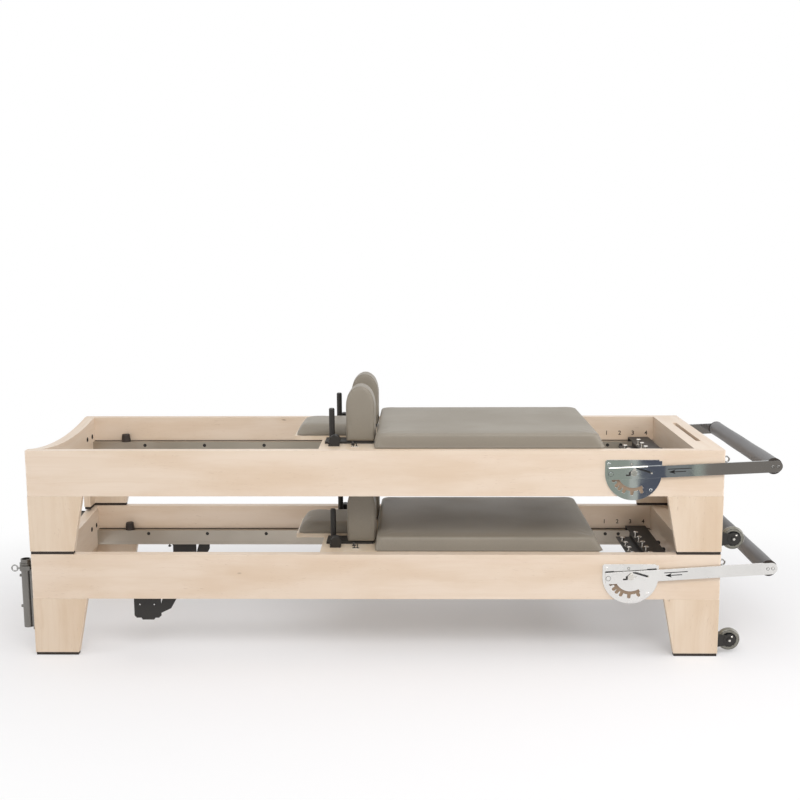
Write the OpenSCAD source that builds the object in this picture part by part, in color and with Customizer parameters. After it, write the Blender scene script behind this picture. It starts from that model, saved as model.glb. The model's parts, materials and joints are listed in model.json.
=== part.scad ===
// Pair of stackable pilates reformers with receivers for a tower at the head end.
// One unit stands on the floor and an equal unit stands on its top edges.
// X runs along the bed and points to the footbar, Y points away from the near side, Z up.
// The origin is on the floor under the middle of the whole part. The modules put X = 0
// at the middle of the wooden frame, and lower() and upper() place the two units.

/* [Frame] */
// Length of the wooden frame
unit_length = 2380; // [2300:10:2460]
// Width over the side boards
unit_width = 704; // [690:2:760]
// Floor to the top edge of one unit
unit_height = 365; // [355:1:420]
// Height of a side board
board_height = 159; // [150:1:170]
// Thickness of a side board
board_t = 31; // [26:1:36]
// Thickness of the head board
head_board_t = 38; // [24:1:44]
// Depth of the hollow in the head board's top edge
head_dip = 28; // [10:1:40]
// Radius on the corners of the wooden frame
wood_round = 5; // [2:1:8]
// Length of the box that closes the foot end
foot_box_l = 98; // [90:1:110]
// Thickness of the foot box's walls
foot_wall_t = 22; // [18:1:26]
// Length of the handle slot in the foot box
handle_slot_l = 372; // [200:2:420]
// Width of the handle slot
handle_slot_w = 17; // [12:1:26]

/* [Legs] */
// Width of a leg where it meets the side board
leg_top_w = 190; // [160:1:210]
// Width of a leg at its foot
leg_foot_w = 152; // [120:1:158]
// Thickness of a leg panel
leg_t = 25; // [18:1:26]
// How far a leg's end panel reaches along the width
leg_end_w = 92; // [70:1:110]
// Thickness of the rubber under a leg
leg_pad_t = 10; // [5:1:14]
// How far the rubber stays inside the leg's outline
leg_pad_inset = 2; // [1:0.5:5]

/* [Rails] */
// Height of a rail
rail_h = 59; // [50:1:66]
// How far a rail stands off its side board
rail_depth = 29; // [27:1:34]
// Wall of the rail profile
rail_wall = 4; // [3:0.5:6]
// Rail above the bottom edge of the side board
rail_lift = 5; // [2:1:10]
// Distance between a rail's screw holes
rail_hole_pitch = 239.5; // [180:0.5:260]
// Diameter of a rail's holes
rail_hole_d = 11; // [6:0.5:12]
// Distance between the numbered positions
position_pitch = 52.3; // [48:0.1:56]
// Head board to the middle of the rubber bumper
bumper_from_head = 131; // [115:1:140]
// Diameter of a bumper at its foot
bumper_d = 36; // [26:1:36]
// Height of a bumper
bumper_h = 30; // [20:1:34]

/* [Carriage] */
// Length of the carriage cushion
pad_length = 789; // [700:1:800]
// How far the cushion stays inside the deck on each side
pad_inset = 3; // [0:1:20]
// Thickness of the carriage cushion at its edge
pad_t = 46; // [30:1:55]
// Height of the cushion's crown over its edge
pad_crown = 6; // [2:1:10]
// Length of the deck in front of the cushion
deck_front = 191; // [180:1:200]
// Distance from the deck to each side board
deck_clear = 21; // [18:1:31]
// Thickness of the deck
deck_t = 20; // [16:1:26]
// Radius of a carriage wheel
wheel_r = 25; // [20:0.5:28]
// Width of a carriage wheel's tread
wheel_w = 20; // [14:1:20]
// How far the wheel's flange stands over its tread
flange_h = 5; // [3:0.5:6]
// Deck above the wheel flanges
deck_gap = 14.7; // [10:0.1:20]
// Radius of the carriage wheels' axles
axle_r = 6; // [4:0.5:8]

/* [Headrest and shoulder rests] */
// Length of the headrest
headrest_l = 240; // [200:2:250]
// Width of the headrest
headrest_w = 222; // [180:2:226]
// Thickness of the headrest's board
headrest_board_t = 15; // [10:1:18]
// Thickness of the headrest's cushion
headrest_pad_t = 38; // [25:1:45]
// Length of a shoulder rest along the bed
rest_l = 98; // [80:1:100]
// Width of a shoulder rest across the bed
rest_w = 88; // [60:1:90]
// Height of a shoulder rest
rest_h = 193; // [150:1:193]
// Distance between the middles of the shoulder rests
rest_spacing = 330; // [322:2:340]
// Thickness of the plate under a shoulder rest
rest_plate_t = 8; // [5:1:10]
// Height of a strap peg over its plate
peg_h = 117; // [80:1:130]
// Radius of a strap peg
peg_r = 10; // [7:0.5:11]
// Distance between the strap pegs
peg_spacing = 368; // [350:2:380]

/* [Spring bar] */
// Length of the bar's plate along the bed
bar_plate_l = 80; // [70:1:84]
// Height of the bar's plate over the rails
bar_rise = 14; // [10:1:20]
// Distance between the spring hooks
hook_pitch = 66; // [50:1:68]
// Diameter of a spring
spring_d = 24; // [18:1:28]
// Length of a spring's coil
spring_coil_l = 500; // [400:5:520]

/* [Footbar] */
// Pivot to the middle of the grip
bar_reach = 472; // [450:1:490]
// Head end of the frame to the footbar's pivot
pivot_from_head = 2071; // [2040:1:2080]
// Pivot below the top edge of the frame
pivot_drop = 76; // [70:1:80]
// Tilt of the lower unit's bar in degrees
lower_tilt = 3.7; // [2.6:0.1:3.8]
// Tilt of the upper unit's bar in degrees
upper_tilt = 2.7; // [2.6:0.1:3.8]
// Height of the flat arms
arm_h = 41; // [34:1:42]
// Thickness of the flat arms
arm_t = 6; // [4:0.5:8]
// Length of the arm behind the pivot
arm_tail = 86; // [84:1:88]
// Radius of the quadrant plate
quadrant_r = 96; // [94:1:98]
// Thickness of the quadrant plate
quadrant_t = 4; // [3:0.5:6]
// Radius of the lock pin's path
lock_path_r = 58.5; // [56:0.5:60]
// Radius of the lock pin
lock_pin_r = 5; // [4:0.25:5]
// How far the bar slides to lock
lock_travel = 14; // [12:0.5:15]
// Diameter of the foam grip
grip_d = 56; // [40:1:58]
// Diameter of the steel tube in the grip
grip_tube_d = 25; // [20:1:28]

/* [Transport wheels] */
// Radius of a transport wheel
transport_r = 40; // [30:1:40]
// Width of a transport wheel
transport_w = 24; // [18:1:26]
// Middle of a transport wheel beyond the frame's end
transport_out = 47; // [44:1:52]
// Middle of a transport wheel above the floor
transport_z = 49; // [44:1:56]

/* [Tower receivers] */
// Outer diameter of a receiver tube
socket_d = 34; // [30:1:38]
// Wall of a receiver tube
socket_wall = 3; // [2:0.5:4]
// Length of a receiver tube
socket_l = 245; // [200:5:260]
// Middle of a receiver tube inside the frame's outer face
socket_inset = 32; // [30:1:52]
// Radius of the pull pin
pull_pin_r = 3.5; // [2.5:0.25:4.5]

/* [Clearances] */
// Side gap between pieces that move past each other
gap = 0.3; // [0.2:0.05:0.5]
// Radial clearance of an axle in its bore
fit = 0.05; // [0.02:0.01:0.1]

/* [Hidden] */
$fn = 64;

maple = "#e5d5c6";
maple_leg = "#dcc7ae";
black = "#26241f";
rubber = "#2d1e0e";
aluminium = "#a39a8b";
chrome = "#c9ced0";
steel = "#8d8b88";
vinyl = "#958f86";
foam = "#5b5a5a";
tyre = "#b7b9b2";

// Middle of the wooden frame, seen from the middle of the whole part
frame_x = -56.5;
end_x = unit_length / 2;
side_y = unit_width / 2;
inner_y = side_y - board_t;
board_z = unit_height - board_height;
head_face_x = -end_x + head_board_t;
foot_face_x = end_x - foot_box_l;

rail_y = inner_y - rail_depth;
rail_z = board_z + rail_lift;
rail_top = rail_z + rail_h;
rail_hole_drop = 14;
rail_hole_z = rail_top - rail_hole_drop;
rail_hole_from_head = 209;
rail_hole_x = head_face_x + rail_hole_from_head;
position_from_foot = 185.5;
position_x = foot_face_x - position_from_foot;
rail_slot_z = 10;
rail_slot_w = 3;
rail_slot_depth = 1.2;
rope_hole_r = 8;
rope_hole_depth = 18;
rope_hole_drop = 72;
rope_hole_insets = [36, 99];
bumper_y = inner_y - bumper_d / 2;
bumper_x = head_face_x + bumper_from_head;
bumper_top_d = bumper_d - 6;

wheel_z = rail_top + gap + wheel_r;
flange_r = wheel_r + flange_h;
flange_w = 5;
bracket_t = 5;
tread_y = rail_y + gap;
flange_y = rail_y - 2 * gap - flange_w;
bracket_y = flange_y - gap;
deck_z = wheel_z + flange_r + deck_gap;
deck_top = deck_z + deck_t;
front_axle_x = -deck_front + 31;
pad_x = 1;
pad_end = pad_x + pad_length;
rear_axle_x = pad_end - 70;
foot_stop_x = rear_axle_x + wheel_r + bumper_d / 2 + 1;
deck_end = pad_end - 6;
deck_width = 2 * (inner_y - deck_clear);
pad_width = deck_width - 2 * pad_inset;

rest_x = -rest_l / 2;
rest_y = rest_spacing / 2;
rest_post_r = 6;
rest_post_x = 28;
plate_top = deck_top + rest_plate_t;
rest_z = plate_top + gap;
peg_x = -152;
peg_y = peg_spacing / 2;
clamp_x = -138;
clamp_y = peg_y + 52;
clamp_r = 19;
clamp_w = 34;

headrest_end = -60;
headrest_recess = 5;
headrest_z = deck_top - headrest_recess + gap;
headrest_pad_z = headrest_z + headrest_board_t + gap;
headrest_pin_r = 4;
headrest_pin_z = headrest_z + headrest_board_t / 2;
headrest_knuckle_r = 6.5;
headrest_knuckle_w = 30;
headrest_ear_y = 70;

bar_x = foot_face_x - 24 - bar_plate_l;
bar_z = rail_top + bar_rise;
bar_t = 3;
bar_y = rail_y + 10;
shelf_l = 56;
shelf_y = 200;
shelf_z = bar_z - 16;
hook_count = 5;
hook_rise = 24;
hook_r = 4;
bar_hook_x = bar_x + 8;
shelf_hook_x = bar_x - shelf_l + 14;
knob_r = 9;
knob_x = bar_x + bar_plate_l + knob_r + 2;
knob_z = bar_z - 13;

spring_z = deck_z - 30;
anchor_x = 150;
coil_x = anchor_x + 28;
spring_rest_x = coil_x + spring_coil_l + 28;
anchor_t = 4;
spring_pin_r = 2;

pivot_x = -end_x + pivot_from_head;
pivot_z = unit_height - pivot_drop;
pivot_r = 5;
pivot_cap_r = 11;
pivot_depth = 22;
notch_angles = [183.2, 202, 218.5, 230, 244, 267, 294];
band_angles = [174, 303];
notch_w = 2 * lock_pin_r + 1.7;
band_w = 2 * lock_pin_r + 1;
notch_end_r = lock_path_r + lock_travel + 1 + lock_pin_r;
quadrant_top = 44;
plate_y = side_y + quadrant_t;
arm_y = plate_y + 2 * gap;
arm_out = arm_y + arm_t;
arm_end = bar_reach + 7;

eye_y = inner_y - 16;
eye_drop = 40;
eye_out = 16;
eye_r = 9.5;
eye_wire_r = 2.8;

wheel_x = end_x + transport_out;
wheel_bracket_t = 4;
bracket_half_h = 30;
bracket_flange = 8;
bracket_eye_r = 16;
transport_inset = 42;
transport_y = side_y - transport_inset;

socket_y = side_y - socket_inset;
socket_out = 29;
socket_plate_t = 6;
socket_plate_w = 48;
socket_x = -end_x - socket_out;
socket_top = unit_height - 25;
socket_bore_r = socket_d / 2 - socket_wall;
pull_out = 24;
pull_ring_r = 10.5;
pull_wire_r = 2.4;
pin_z = socket_top - 27;
pin_y = socket_y + socket_d / 2 + pull_pin_r + 1.5;

under_x = -801;
under_l = 95;
under_y = rail_y + 12;
under_drop = 97;

// Copy on the near side and its mirror image on the far side
module both_sides() {
    children();
    mirror([0, 1, 0]) children();
}

// Copy at the head end and its mirror image at the foot end
module both_ends() {
    children();
    mirror([1, 0, 0]) children();
}

// Place of the unit on the floor
module lower() {
    translate([frame_x, 0, 0]) children();
}

// Place of the equal unit that stands on the lower one's top edges
module upper() {
    translate([frame_x, 0, unit_height]) children();
}

// Cylinder along Y that starts at y and runs away from the middle of the bed
module y_rod(x, y, z, r, l) {
    translate([x, y, z]) rotate([-90, 0, 0]) cylinder(r = r, h = l);
}

// Cylinder along X
module x_rod(x, y, z, r, l) {
    translate([x, y, z]) rotate([0, 90, 0]) cylinder(r = r, h = l);
}

// Box from one corner to the opposite one
module block(a, b) {
    translate(a) cube(b - a);
}

// Rectangle with round corners
module round_rect(l, w, r) {
    for (x = [-1, 1])
        for (y = [-1, 1])
            translate([x * (l / 2 - r), y * (w / 2 - r)]) circle(r = r);
    square([l - 2 * r, w], center = true);
    square([l, w - 2 * r], center = true);
}

// Closed skin over a list of rings that have the same number of points
module skin(rings) {
    n = len(rings[0]);
    last = len(rings) - 1;
    points = [for (ring = rings) for (p = ring) p];
    sides = [for (k = [0 : last - 1]) for (i = [0 : n - 1])
        let (a = k * n + i, b = k * n + (i + 1) % n)
        each [[a, b, b + n], [a, b + n, a + n]]];
    bottom = [for (i = [1 : n - 2]) [0, i + 1, i]];
    top = [for (i = [1 : n - 2]) [last * n, last * n + i, last * n + i + 1]];
    polyhedron(points = points, faces = [for (f = concat(sides, bottom, top)) [f[0], f[2], f[1]]]);
}

// Points of a rectangle with round corners at height z
function rect_ring(x0, x1, w, r, z, steps = 8) = [
    for (c = [0 : 3]) for (s = [0 : steps - 1])
        let (a = 90 * c + 90 * s / (steps - 1),
             cx = (c == 0 || c == 3) ? x1 - r : x0 + r,
             cy = (c < 2) ? w / 2 - r : -w / 2 + r)
        [cx + r * cos(a), cy + r * sin(a), z]];

// Upholstered block: drawn in at the bottom, full at mid height, with a crowned top.
// slope is how far the top edge stays inside the bottom edge at each end, and the corners
// are half as round at the bottom as at the top.
module cushion(x0, x1, w, z, t, crown, slope0, slope1, side, corner) {
    edge = [[0, 0.35], [0.12, 0.05], [0.35, 0], [0.62, 0.2], [0.85, 0.62], [0.97, 1.25]];
    lower = [for (e = edge)
        rect_ring(x0 + e[1] * slope0, x1 - e[1] * slope1, w - 2 * e[1] * side,
            corner * (1 + e[0]) / 2, z + e[0] * t)];
    upper = [for (c = [0.25, 0.55, 0.85])
        let (l = (x1 - x0) / 2 * (1 - c), m = (x0 + x1) / 2, h = (w / 2 - side * 1.4) * (1 - c))
        rect_ring(m - l, m + l, 2 * h, min(corner, h * 0.8),
            z + 0.97 * t + (crown + 0.03 * t) * sin(90 * c / 0.85))];
    skin(concat(lower, upper));
}

// Outline of a shoulder rest seen from the side, Y up: upright flanks and a round head
function arch_ring(half, h, z, steps = 12) = concat(
    [[-half + 14, 0, z], [half - 14, 0, z], [half - 4, 5, z], [half, 18, z], [half, h * 0.36, z]],
    [for (s = [0 : steps]) let (a = 180 * s / steps)
        [half * cos(a), h * 0.67 + h * 0.33 * sin(a), z]],
    [[-half, h * 0.36, z], [-half, 18, z], [-half + 4, 5, z]]);

// Shoulder rest with rolled edges and two posts for its plate
module shoulder_rest() {
    roll = [[0, 9], [4, 3.5], [12, 0], [rest_w / 2, -0.6], [rest_w - 12, 0], [rest_w - 4, 3.5], [rest_w, 9]];
    color(vinyl) translate([rest_x, rest_y, rest_z]) {
        translate([0, rest_w / 2, 0]) rotate([90, 0, 0])
            skin([for (r = roll)
                [for (p = arch_ring(rest_l / 2, rest_h, r[0]))
                    [p[0] * (1 - r[1] / (rest_l / 2)), p[1] * (1 - r[1] / rest_h), p[2]]]]);
        for (x = [-rest_post_x, rest_post_x])
            translate([x, 0, -(rest_z - deck_z) + 3])
                cylinder(r = rest_post_r, h = rest_z - deck_z + 6);
    }
}

// Plan of a side board, with its outer corners rounded
module board_plan() {
    square([unit_length - 2 * wood_round, board_t], center = true);
    translate([0, -wood_round / 2]) square([unit_length, board_t - wood_round], center = true);
    for (s = [-1, 1])
        translate([s * (end_x - wood_round), board_t / 2 - wood_round]) circle(r = wood_round);
}

// Planks along both sides of the bed
module side_boards() {
    color(maple) both_sides() difference() {
        translate([0, side_y - board_t / 2, board_z]) linear_extrude(board_height) board_plan();
        y_rod(pivot_x, side_y - pivot_depth - 2, pivot_z, pivot_r + 1, pivot_depth + 3);
    }
}

// Board at the head end, with a hollow top edge
module head_board() {
    chord = 2 * inner_y;
    arc_r = (chord * chord / 4 + head_dip * head_dip) / (2 * head_dip);
    color(maple) difference() {
        block([-end_x, -inner_y, board_z], [head_face_x, inner_y, unit_height]);
        x_rod(-end_x - 1, 0, unit_height - head_dip + arc_r, arc_r, head_board_t + 2, $fn = 256);
        for (inset = rope_hole_insets)
            both_sides() x_rod(head_face_x - rope_hole_depth, inner_y - inset, unit_height - rope_hole_drop,
                rope_hole_r, rope_hole_depth + 2);
    }
}

// Hollow box at the foot end with a handle slot in its top
module foot_board() {
    color(maple) difference() {
        block([foot_face_x, -inner_y, board_z], [end_x, inner_y, unit_height]);
        block([foot_face_x + foot_wall_t, -inner_y - 1, board_z - 1],
            [end_x - foot_wall_t, inner_y + 1, unit_height - foot_wall_t]);
        translate([foot_face_x + foot_box_l / 2, 0, unit_height - foot_wall_t - 1])
            linear_extrude(foot_wall_t + 2)
                round_rect(handle_slot_w, handle_slot_l, handle_slot_w / 2 - 1);
    }
}

// Legs that are an L in plan, with the inner edge of the wide panel tapered
module legs() {
    h = board_z - leg_pad_t;
    color(maple_leg) both_ends() both_sides() {
        translate([0, side_y, 0]) rotate([90, 0, 0]) linear_extrude(leg_t)
            polygon([[-end_x, leg_pad_t], [-end_x + leg_foot_w, leg_pad_t],
                [-end_x + leg_top_w, leg_pad_t + h], [-end_x, leg_pad_t + h]]);
        block([-end_x, side_y - leg_end_w, leg_pad_t],
            [-end_x + leg_t, side_y - leg_t, leg_pad_t + h]);
    }
}

// Rubber strips under the legs
module leg_pads() {
    i = leg_pad_inset;
    color(rubber) both_ends() both_sides() {
        block([-end_x + i, side_y - leg_t + i, 0], [-end_x + leg_foot_w - i, side_y - i, leg_pad_t]);
        block([-end_x + i, side_y - leg_end_w + i, 0], [-end_x + leg_t - i, side_y - leg_t + i, leg_pad_t]);
    }
}

// Channel rails with a row of screw holes and four numbered position holes
module rails() {
    w = rail_wall;
    color(aluminium) both_sides() difference() {
        block([head_face_x, rail_y, rail_z], [foot_face_x, inner_y, rail_top]);
        block([head_face_x - 1, rail_y + w, rail_z + w], [foot_face_x + 1, inner_y + 1, rail_top - w]);
        block([head_face_x - 1, rail_y - 1, rail_z + rail_slot_z],
            [foot_face_x + 1, rail_y + rail_slot_depth, rail_z + rail_slot_z + rail_slot_w]);
        for (x = [rail_hole_x : rail_hole_pitch : position_x - rail_hole_pitch / 2])
            y_rod(x, rail_y - 1, rail_hole_z, rail_hole_d / 2, w + 2);
        for (k = [0 : 3])
            y_rod(position_x + k * position_pitch, rail_y - 1, rail_hole_z, rail_hole_d / 2, w + 2);
    }
}

// Ring of round wire that lies in the XZ plane
module wire_ring(r, wire_r) {
    rotate([90, 0, 0]) rotate_extrude() translate([r, 0]) circle(r = wire_r, $fn = 24);
}

// Eye hooks on the foot end's face for a strap or rope
module strap_hooks() {
    z = unit_height - eye_drop;
    color(chrome) both_sides() {
        x_rod(end_x, eye_y, z, 7, 2);
        x_rod(end_x + 1, eye_y, z, 3, eye_out - eye_r);
        translate([end_x + eye_out, eye_y, z]) wire_ring(eye_r, eye_wire_r);
    }
}

// Rubber cones on the rails that stop the carriage at both ends of its run
module rail_bumpers() {
    color(rubber) both_sides()
        for (x = [bumper_x, foot_stop_x])
            translate([x, bumper_y, rail_top])
                cylinder(r1 = bumper_d / 2, r2 = bumper_top_d / 2, h = bumper_h);
}

// Black bent plate across the rails, with pull knobs on its foot side
module spring_bar() {
    end = bar_x + bar_plate_l;
    color(black) {
        difference() {
            block([bar_x, -bar_y, bar_z], [end, bar_y, bar_z + bar_t]);
            for (k = [0 : hook_count - 1])
                translate([bar_hook_x, (k - 2) * hook_pitch, bar_z - 1])
                    cylinder(r = hook_r + fit, h = bar_t + 2);
        }
        difference() {
            union() {
                block([bar_x - shelf_l, -shelf_y, shelf_z], [bar_x, shelf_y, shelf_z + bar_t]);
                block([bar_x - bar_t, -shelf_y, shelf_z], [bar_x, shelf_y, bar_z + bar_t]);
            }
            for (k = [0 : hook_count - 1])
                translate([shelf_hook_x, (k - 2) * hook_pitch, shelf_z - 1])
                    cylinder(r = hook_r + fit, h = bar_t + 2);
        }
        both_sides() block([bar_x, rail_y + 2, rail_top], [end, bar_y, bar_z]);
        for (y = [115, 25]) {
            block([end - 22, y - 8, bar_z - 22], [end - 18, y + 8, bar_z]);
            x_rod(end - 19, y, knob_z, 3, knob_x - end + 19);
            translate([knob_x, y, knob_z]) sphere(r = knob_r);
        }
    }
}

// Mushroom-headed stud that a spring's loop drops over
module hook_stud(rise) {
    translate([0, 0, -6]) cylinder(r = hook_r, h = rise + 6);
    cylinder(r = 7, h = 2);
    translate([0, 0, rise - 5]) cylinder(r1 = 5, r2 = 9, h = 3);
    translate([0, 0, rise - 2]) cylinder(r1 = 9, r2 = 6, h = 2.5);
}

// Two rows of chrome studs for the springs
module spring_hooks() {
    color(chrome) for (k = [0 : hook_count - 1]) {
        y = (k - 2) * hook_pitch;
        translate([bar_hook_x, y, bar_z + bar_t]) hook_stud(hook_rise);
        translate([shelf_hook_x, y, shelf_z + bar_t]) hook_stud(hook_rise - 6);
    }
}

// Ring sector between two angles, seen with Y up
module sector(r0, r1, a0, a1) {
    steps = 24;
    polygon(concat(
        [for (s = [0 : steps]) let (a = a0 + (a1 - a0) * s / steps) r1 * [cos(a), sin(a)]],
        [for (s = [steps : -1 : 0]) let (a = a0 + (a1 - a0) * s / steps) r0 * [cos(a), sin(a)]]));
}

// Outline of a quadrant plate around its pivot, with the toothed slot for the lock pin
module quadrant_plan() {
    notch_l = notch_end_r - notch_w / 2 - lock_path_r;
    difference() {
        union() {
            circle(r = quadrant_r, $fn = 128);
            translate([-quadrant_r, 0]) square([2 * quadrant_r, quadrant_top - 4]);
            translate([-quadrant_r + 4, 0]) square([2 * quadrant_r - 14, quadrant_top]);
        }
        translate([-quadrant_r - 1, quadrant_top]) square([2 * quadrant_r + 2, quadrant_r]);
        circle(r = pivot_r + fit);
        sector(lock_path_r - band_w / 2, lock_path_r + band_w / 2, band_angles[0], band_angles[1]);
        for (a = notch_angles)
            rotate(a) {
                translate([lock_path_r, -notch_w / 2]) square([notch_l, notch_w]);
                translate([lock_path_r + notch_l, 0]) circle(r = notch_w / 2);
            }
    }
}

// Plates with the toothed slots that set the height of the footbar, and their screws
module quadrants() {
    color(chrome) both_sides() translate([pivot_x, plate_y, pivot_z]) {
        rotate([90, 0, 0]) linear_extrude(quadrant_t) quadrant_plan();
        for (p = [[60, -60], [-84, 30]])
            translate([p[0], 0, p[1]]) rotate([-90, 0, 0]) cylinder(r1 = 5, r2 = 3.6, h = 2);
    }
}

// Forks that carry the transport wheels on the foot-end legs
module wheel_brackets() {
    t = wheel_bracket_t;
    w = transport_w / 2 + 1;
    plate_w = w + t + bracket_flange;
    color(black) both_sides() translate([0, transport_y, 0]) {
        difference() {
            union() {
                block([end_x, -plate_w, transport_z - bracket_half_h],
                    [end_x + t, plate_w, transport_z + bracket_half_h]);
                for (y = [-w - t, w])
                    hull() {
                        block([end_x + t - 1, y, transport_z - bracket_half_h + 5],
                            [end_x + t, y + t, transport_z + bracket_half_h - 8]);
                        translate([wheel_x, y, transport_z]) rotate([-90, 0, 0])
                            cylinder(r = bracket_eye_r, h = t, $fn = 32);
                    }
            }
            y_rod(wheel_x, -w - t - 1, transport_z, axle_r, 2 * (w + t) + 2);
        }
    }
    color(chrome) both_sides() translate([0, transport_y, 0]) {
        y_rod(wheel_x, -w - t - 4, transport_z, axle_r, 2 * (w + t) + 8);
        y_rod(wheel_x, -w - t - 5, transport_z, axle_r + 3, 5);
        y_rod(wheel_x, w + t, transport_z, axle_r + 3, 5);
    }
}

// Tyre and hub of one transport wheel on the near or far side
module transport_wheel(side) {
    r = transport_r;
    h = transport_w / 2;
    color(tyre) translate([wheel_x, side * transport_y, transport_z]) rotate([-90, 0, 0])
        rotate_extrude()
            polygon([[axle_r + fit, -h + 2], [12, -h + 2], [12, -h + 5], [r - 14, -h + 5], [r - 12, -h + 1],
                [r - 6, -h], [r - 1.5, -h + 5], [r, 0], [r - 1.5, h - 5], [r - 6, h],
                [r - 12, h - 1], [r - 14, h - 5], [12, h - 5], [12, h - 2], [axle_r + fit, h - 2]]);
}

// Frame of a footbar: X along the arms from the pivot, tilted like the bar at rest
module bar_frame(tilt) {
    translate([pivot_x, 0, pivot_z]) rotate([0, -tilt, 0]) children();
}

// Bolts that the footbar turns on
module footbar_pivots(tilt) {
    color(chrome) bar_frame(tilt) both_sides() {
        y_rod(0, side_y - pivot_depth, 0, pivot_r, arm_out - side_y + pivot_depth + 1);
        y_rod(0, arm_out + gap, 0, pivot_cap_r, 3);
    }
}

// Flat arms with lock pins, joined by the tube that carries the grip
module footbar_arms(tilt) {
    color(chrome) bar_frame(tilt) {
        both_sides() {
            difference() {
                translate([0, arm_out, 0]) rotate([90, 0, 0]) linear_extrude(arm_t)
                    difference() {
                        union() {
                            translate([-arm_tail, -arm_h / 2]) square([arm_tail + arm_end, arm_h]);
                            translate([arm_end, 0]) circle(r = arm_h / 2);
                        }
                        translate([0, -pivot_r - 0.2]) square([lock_travel, 2 * pivot_r + 0.4]);
                        circle(r = pivot_r + 0.2);
                        translate([lock_travel, 0]) circle(r = pivot_r + 0.2);
                        translate([14, 15]) rotate(-21.5) square([50, 4.5]);
                    }
            }
            y_rod(-lock_path_r, side_y + gap, 0, lock_pin_r, arm_y - side_y - gap + 1);
            y_rod(-arm_tail + 9, arm_out, 0, 6, 2.5);
            for (x = [-5, 12])
                y_rod(bar_reach + x, arm_out, 0, 4, 2);
        }
        y_rod(bar_reach, -arm_y - 1, 0, grip_tube_d / 2, 2 * arm_y + 2);
    }
}

// Foam sleeve on the footbar's tube
module footbar_grip(tilt) {
    grip_l = 2 * arm_y - 6;
    color(foam) bar_frame(tilt) difference() {
        y_rod(bar_reach, -grip_l / 2, 0, grip_d / 2, grip_l);
        y_rod(bar_reach, -grip_l / 2 - 1, 0, grip_tube_d / 2 + fit, grip_l + 2);
    }
}

// Plywood deck of the carriage, with a recess for the headrest and bores for the rests
module carriage_deck() {
    color(maple) difference() {
        translate([(deck_end - deck_front) / 2, 0, deck_z])
            linear_extrude(deck_t) round_rect(deck_end + deck_front, deck_width, 10);
        block([-deck_front - 1, -headrest_w / 2 - 1, deck_top - headrest_recess],
            [headrest_end + 14, headrest_w / 2 + 1, deck_top + 1]);
        both_sides()
            for (x = [-rest_post_x, rest_post_x])
                translate([rest_x + x, rest_y, deck_z + 1]) cylinder(r = rest_post_r + fit, h = deck_t);
    }
}

// Angle bracket with the axle stub for one carriage wheel
module wheel_truck(x) {
    w = 50;
    out = tread_y + wheel_w + gap;
    difference() {
        block([x - w / 2, bracket_y - bracket_t, wheel_z - 14], [x + w / 2, bracket_y, deck_z]);
        y_rod(x, bracket_y - bracket_t - 1, wheel_z, axle_r, bracket_t + 2);
    }
    block([x - w / 2, bracket_y - 34, deck_z - 4], [x + w / 2, bracket_y - bracket_t, deck_z]);
    y_rod(x, bracket_y - bracket_t - 3, wheel_z, axle_r, out - bracket_y + bracket_t + 4);
    y_rod(x, out, wheel_z, axle_r + 3, 3);
    y_rod(x, bracket_y - bracket_t - 4, wheel_z, axle_r + 3, 4);
}

// Plate under the deck with a row of holes for the springs' ends
module spring_plate(x) {
    difference() {
        union() {
            block([x, -hook_pitch * 2 - 24, spring_z - 10], [x + anchor_t, hook_pitch * 2 + 24, deck_z]);
            block([x, -hook_pitch * 2 - 24, deck_z - 4], [x + 28, hook_pitch * 2 + 24, deck_z]);
        }
        for (k = [0 : hook_count - 1])
            x_rod(x - 1, (k - 2) * hook_pitch, spring_z, spring_pin_r + 0.3, anchor_t + 2);
    }
}

// Metalwork under the deck: four trucks and the two spring plates
module undercarriage() {
    color(steel) {
        both_sides() {
            wheel_truck(front_axle_x);
            wheel_truck(rear_axle_x);
        }
        spring_plate(anchor_x);
        spring_plate(spring_rest_x);
    }
}

// Pair of flanged wheels on one axle line
module wheel_pair(x) {
    color("#3a3a3c") both_sides()
        translate([x, 0, wheel_z]) rotate([-90, 0, 0]) rotate_extrude()
            polygon([[axle_r + fit, flange_y], [flange_r - 1, flange_y], [flange_r, flange_y + 1],
                [flange_r - 1, flange_y + flange_w], [wheel_r, flange_y + flange_w + 0.4],
                [wheel_r, tread_y + wheel_w - 1], [wheel_r - 1, tread_y + wheel_w],
                [axle_r + fit, tread_y + wheel_w]]);
}

// Main cushion of the carriage
module carriage_pad() {
    color(vinyl) cushion(pad_x, pad_end, pad_width, deck_top + gap, pad_t, pad_crown, 24, 24, 9, 34);
}

// Board under the head cushion, with two knuckles on the hinge line
module headrest_board() {
    x0 = headrest_end - headrest_l;
    color(maple) difference() {
        union() {
            block([x0 + 6, -headrest_w / 2 + 5, headrest_z],
                [headrest_end, headrest_w / 2 - 5, headrest_z + headrest_board_t]);
            both_sides() y_rod(headrest_end, headrest_ear_y - headrest_knuckle_w, headrest_pin_z,
                headrest_knuckle_r, headrest_knuckle_w);
        }
        both_sides() y_rod(headrest_end, headrest_ear_y - headrest_knuckle_w - 3, headrest_pin_z,
            headrest_pin_r + fit, headrest_knuckle_w + 12);
        both_sides() block([headrest_end - 9, headrest_ear_y, headrest_z - 1],
            [headrest_end + 9, headrest_ear_y + 9, headrest_z + headrest_board_t + 1]);
    }
}

// Head cushion
module headrest_pad() {
    x0 = headrest_end - headrest_l;
    color(vinyl) cushion(x0, headrest_end - 4, headrest_w, headrest_pad_z, headrest_pad_t, 3, 26, 10, 16, 30);
}

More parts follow.
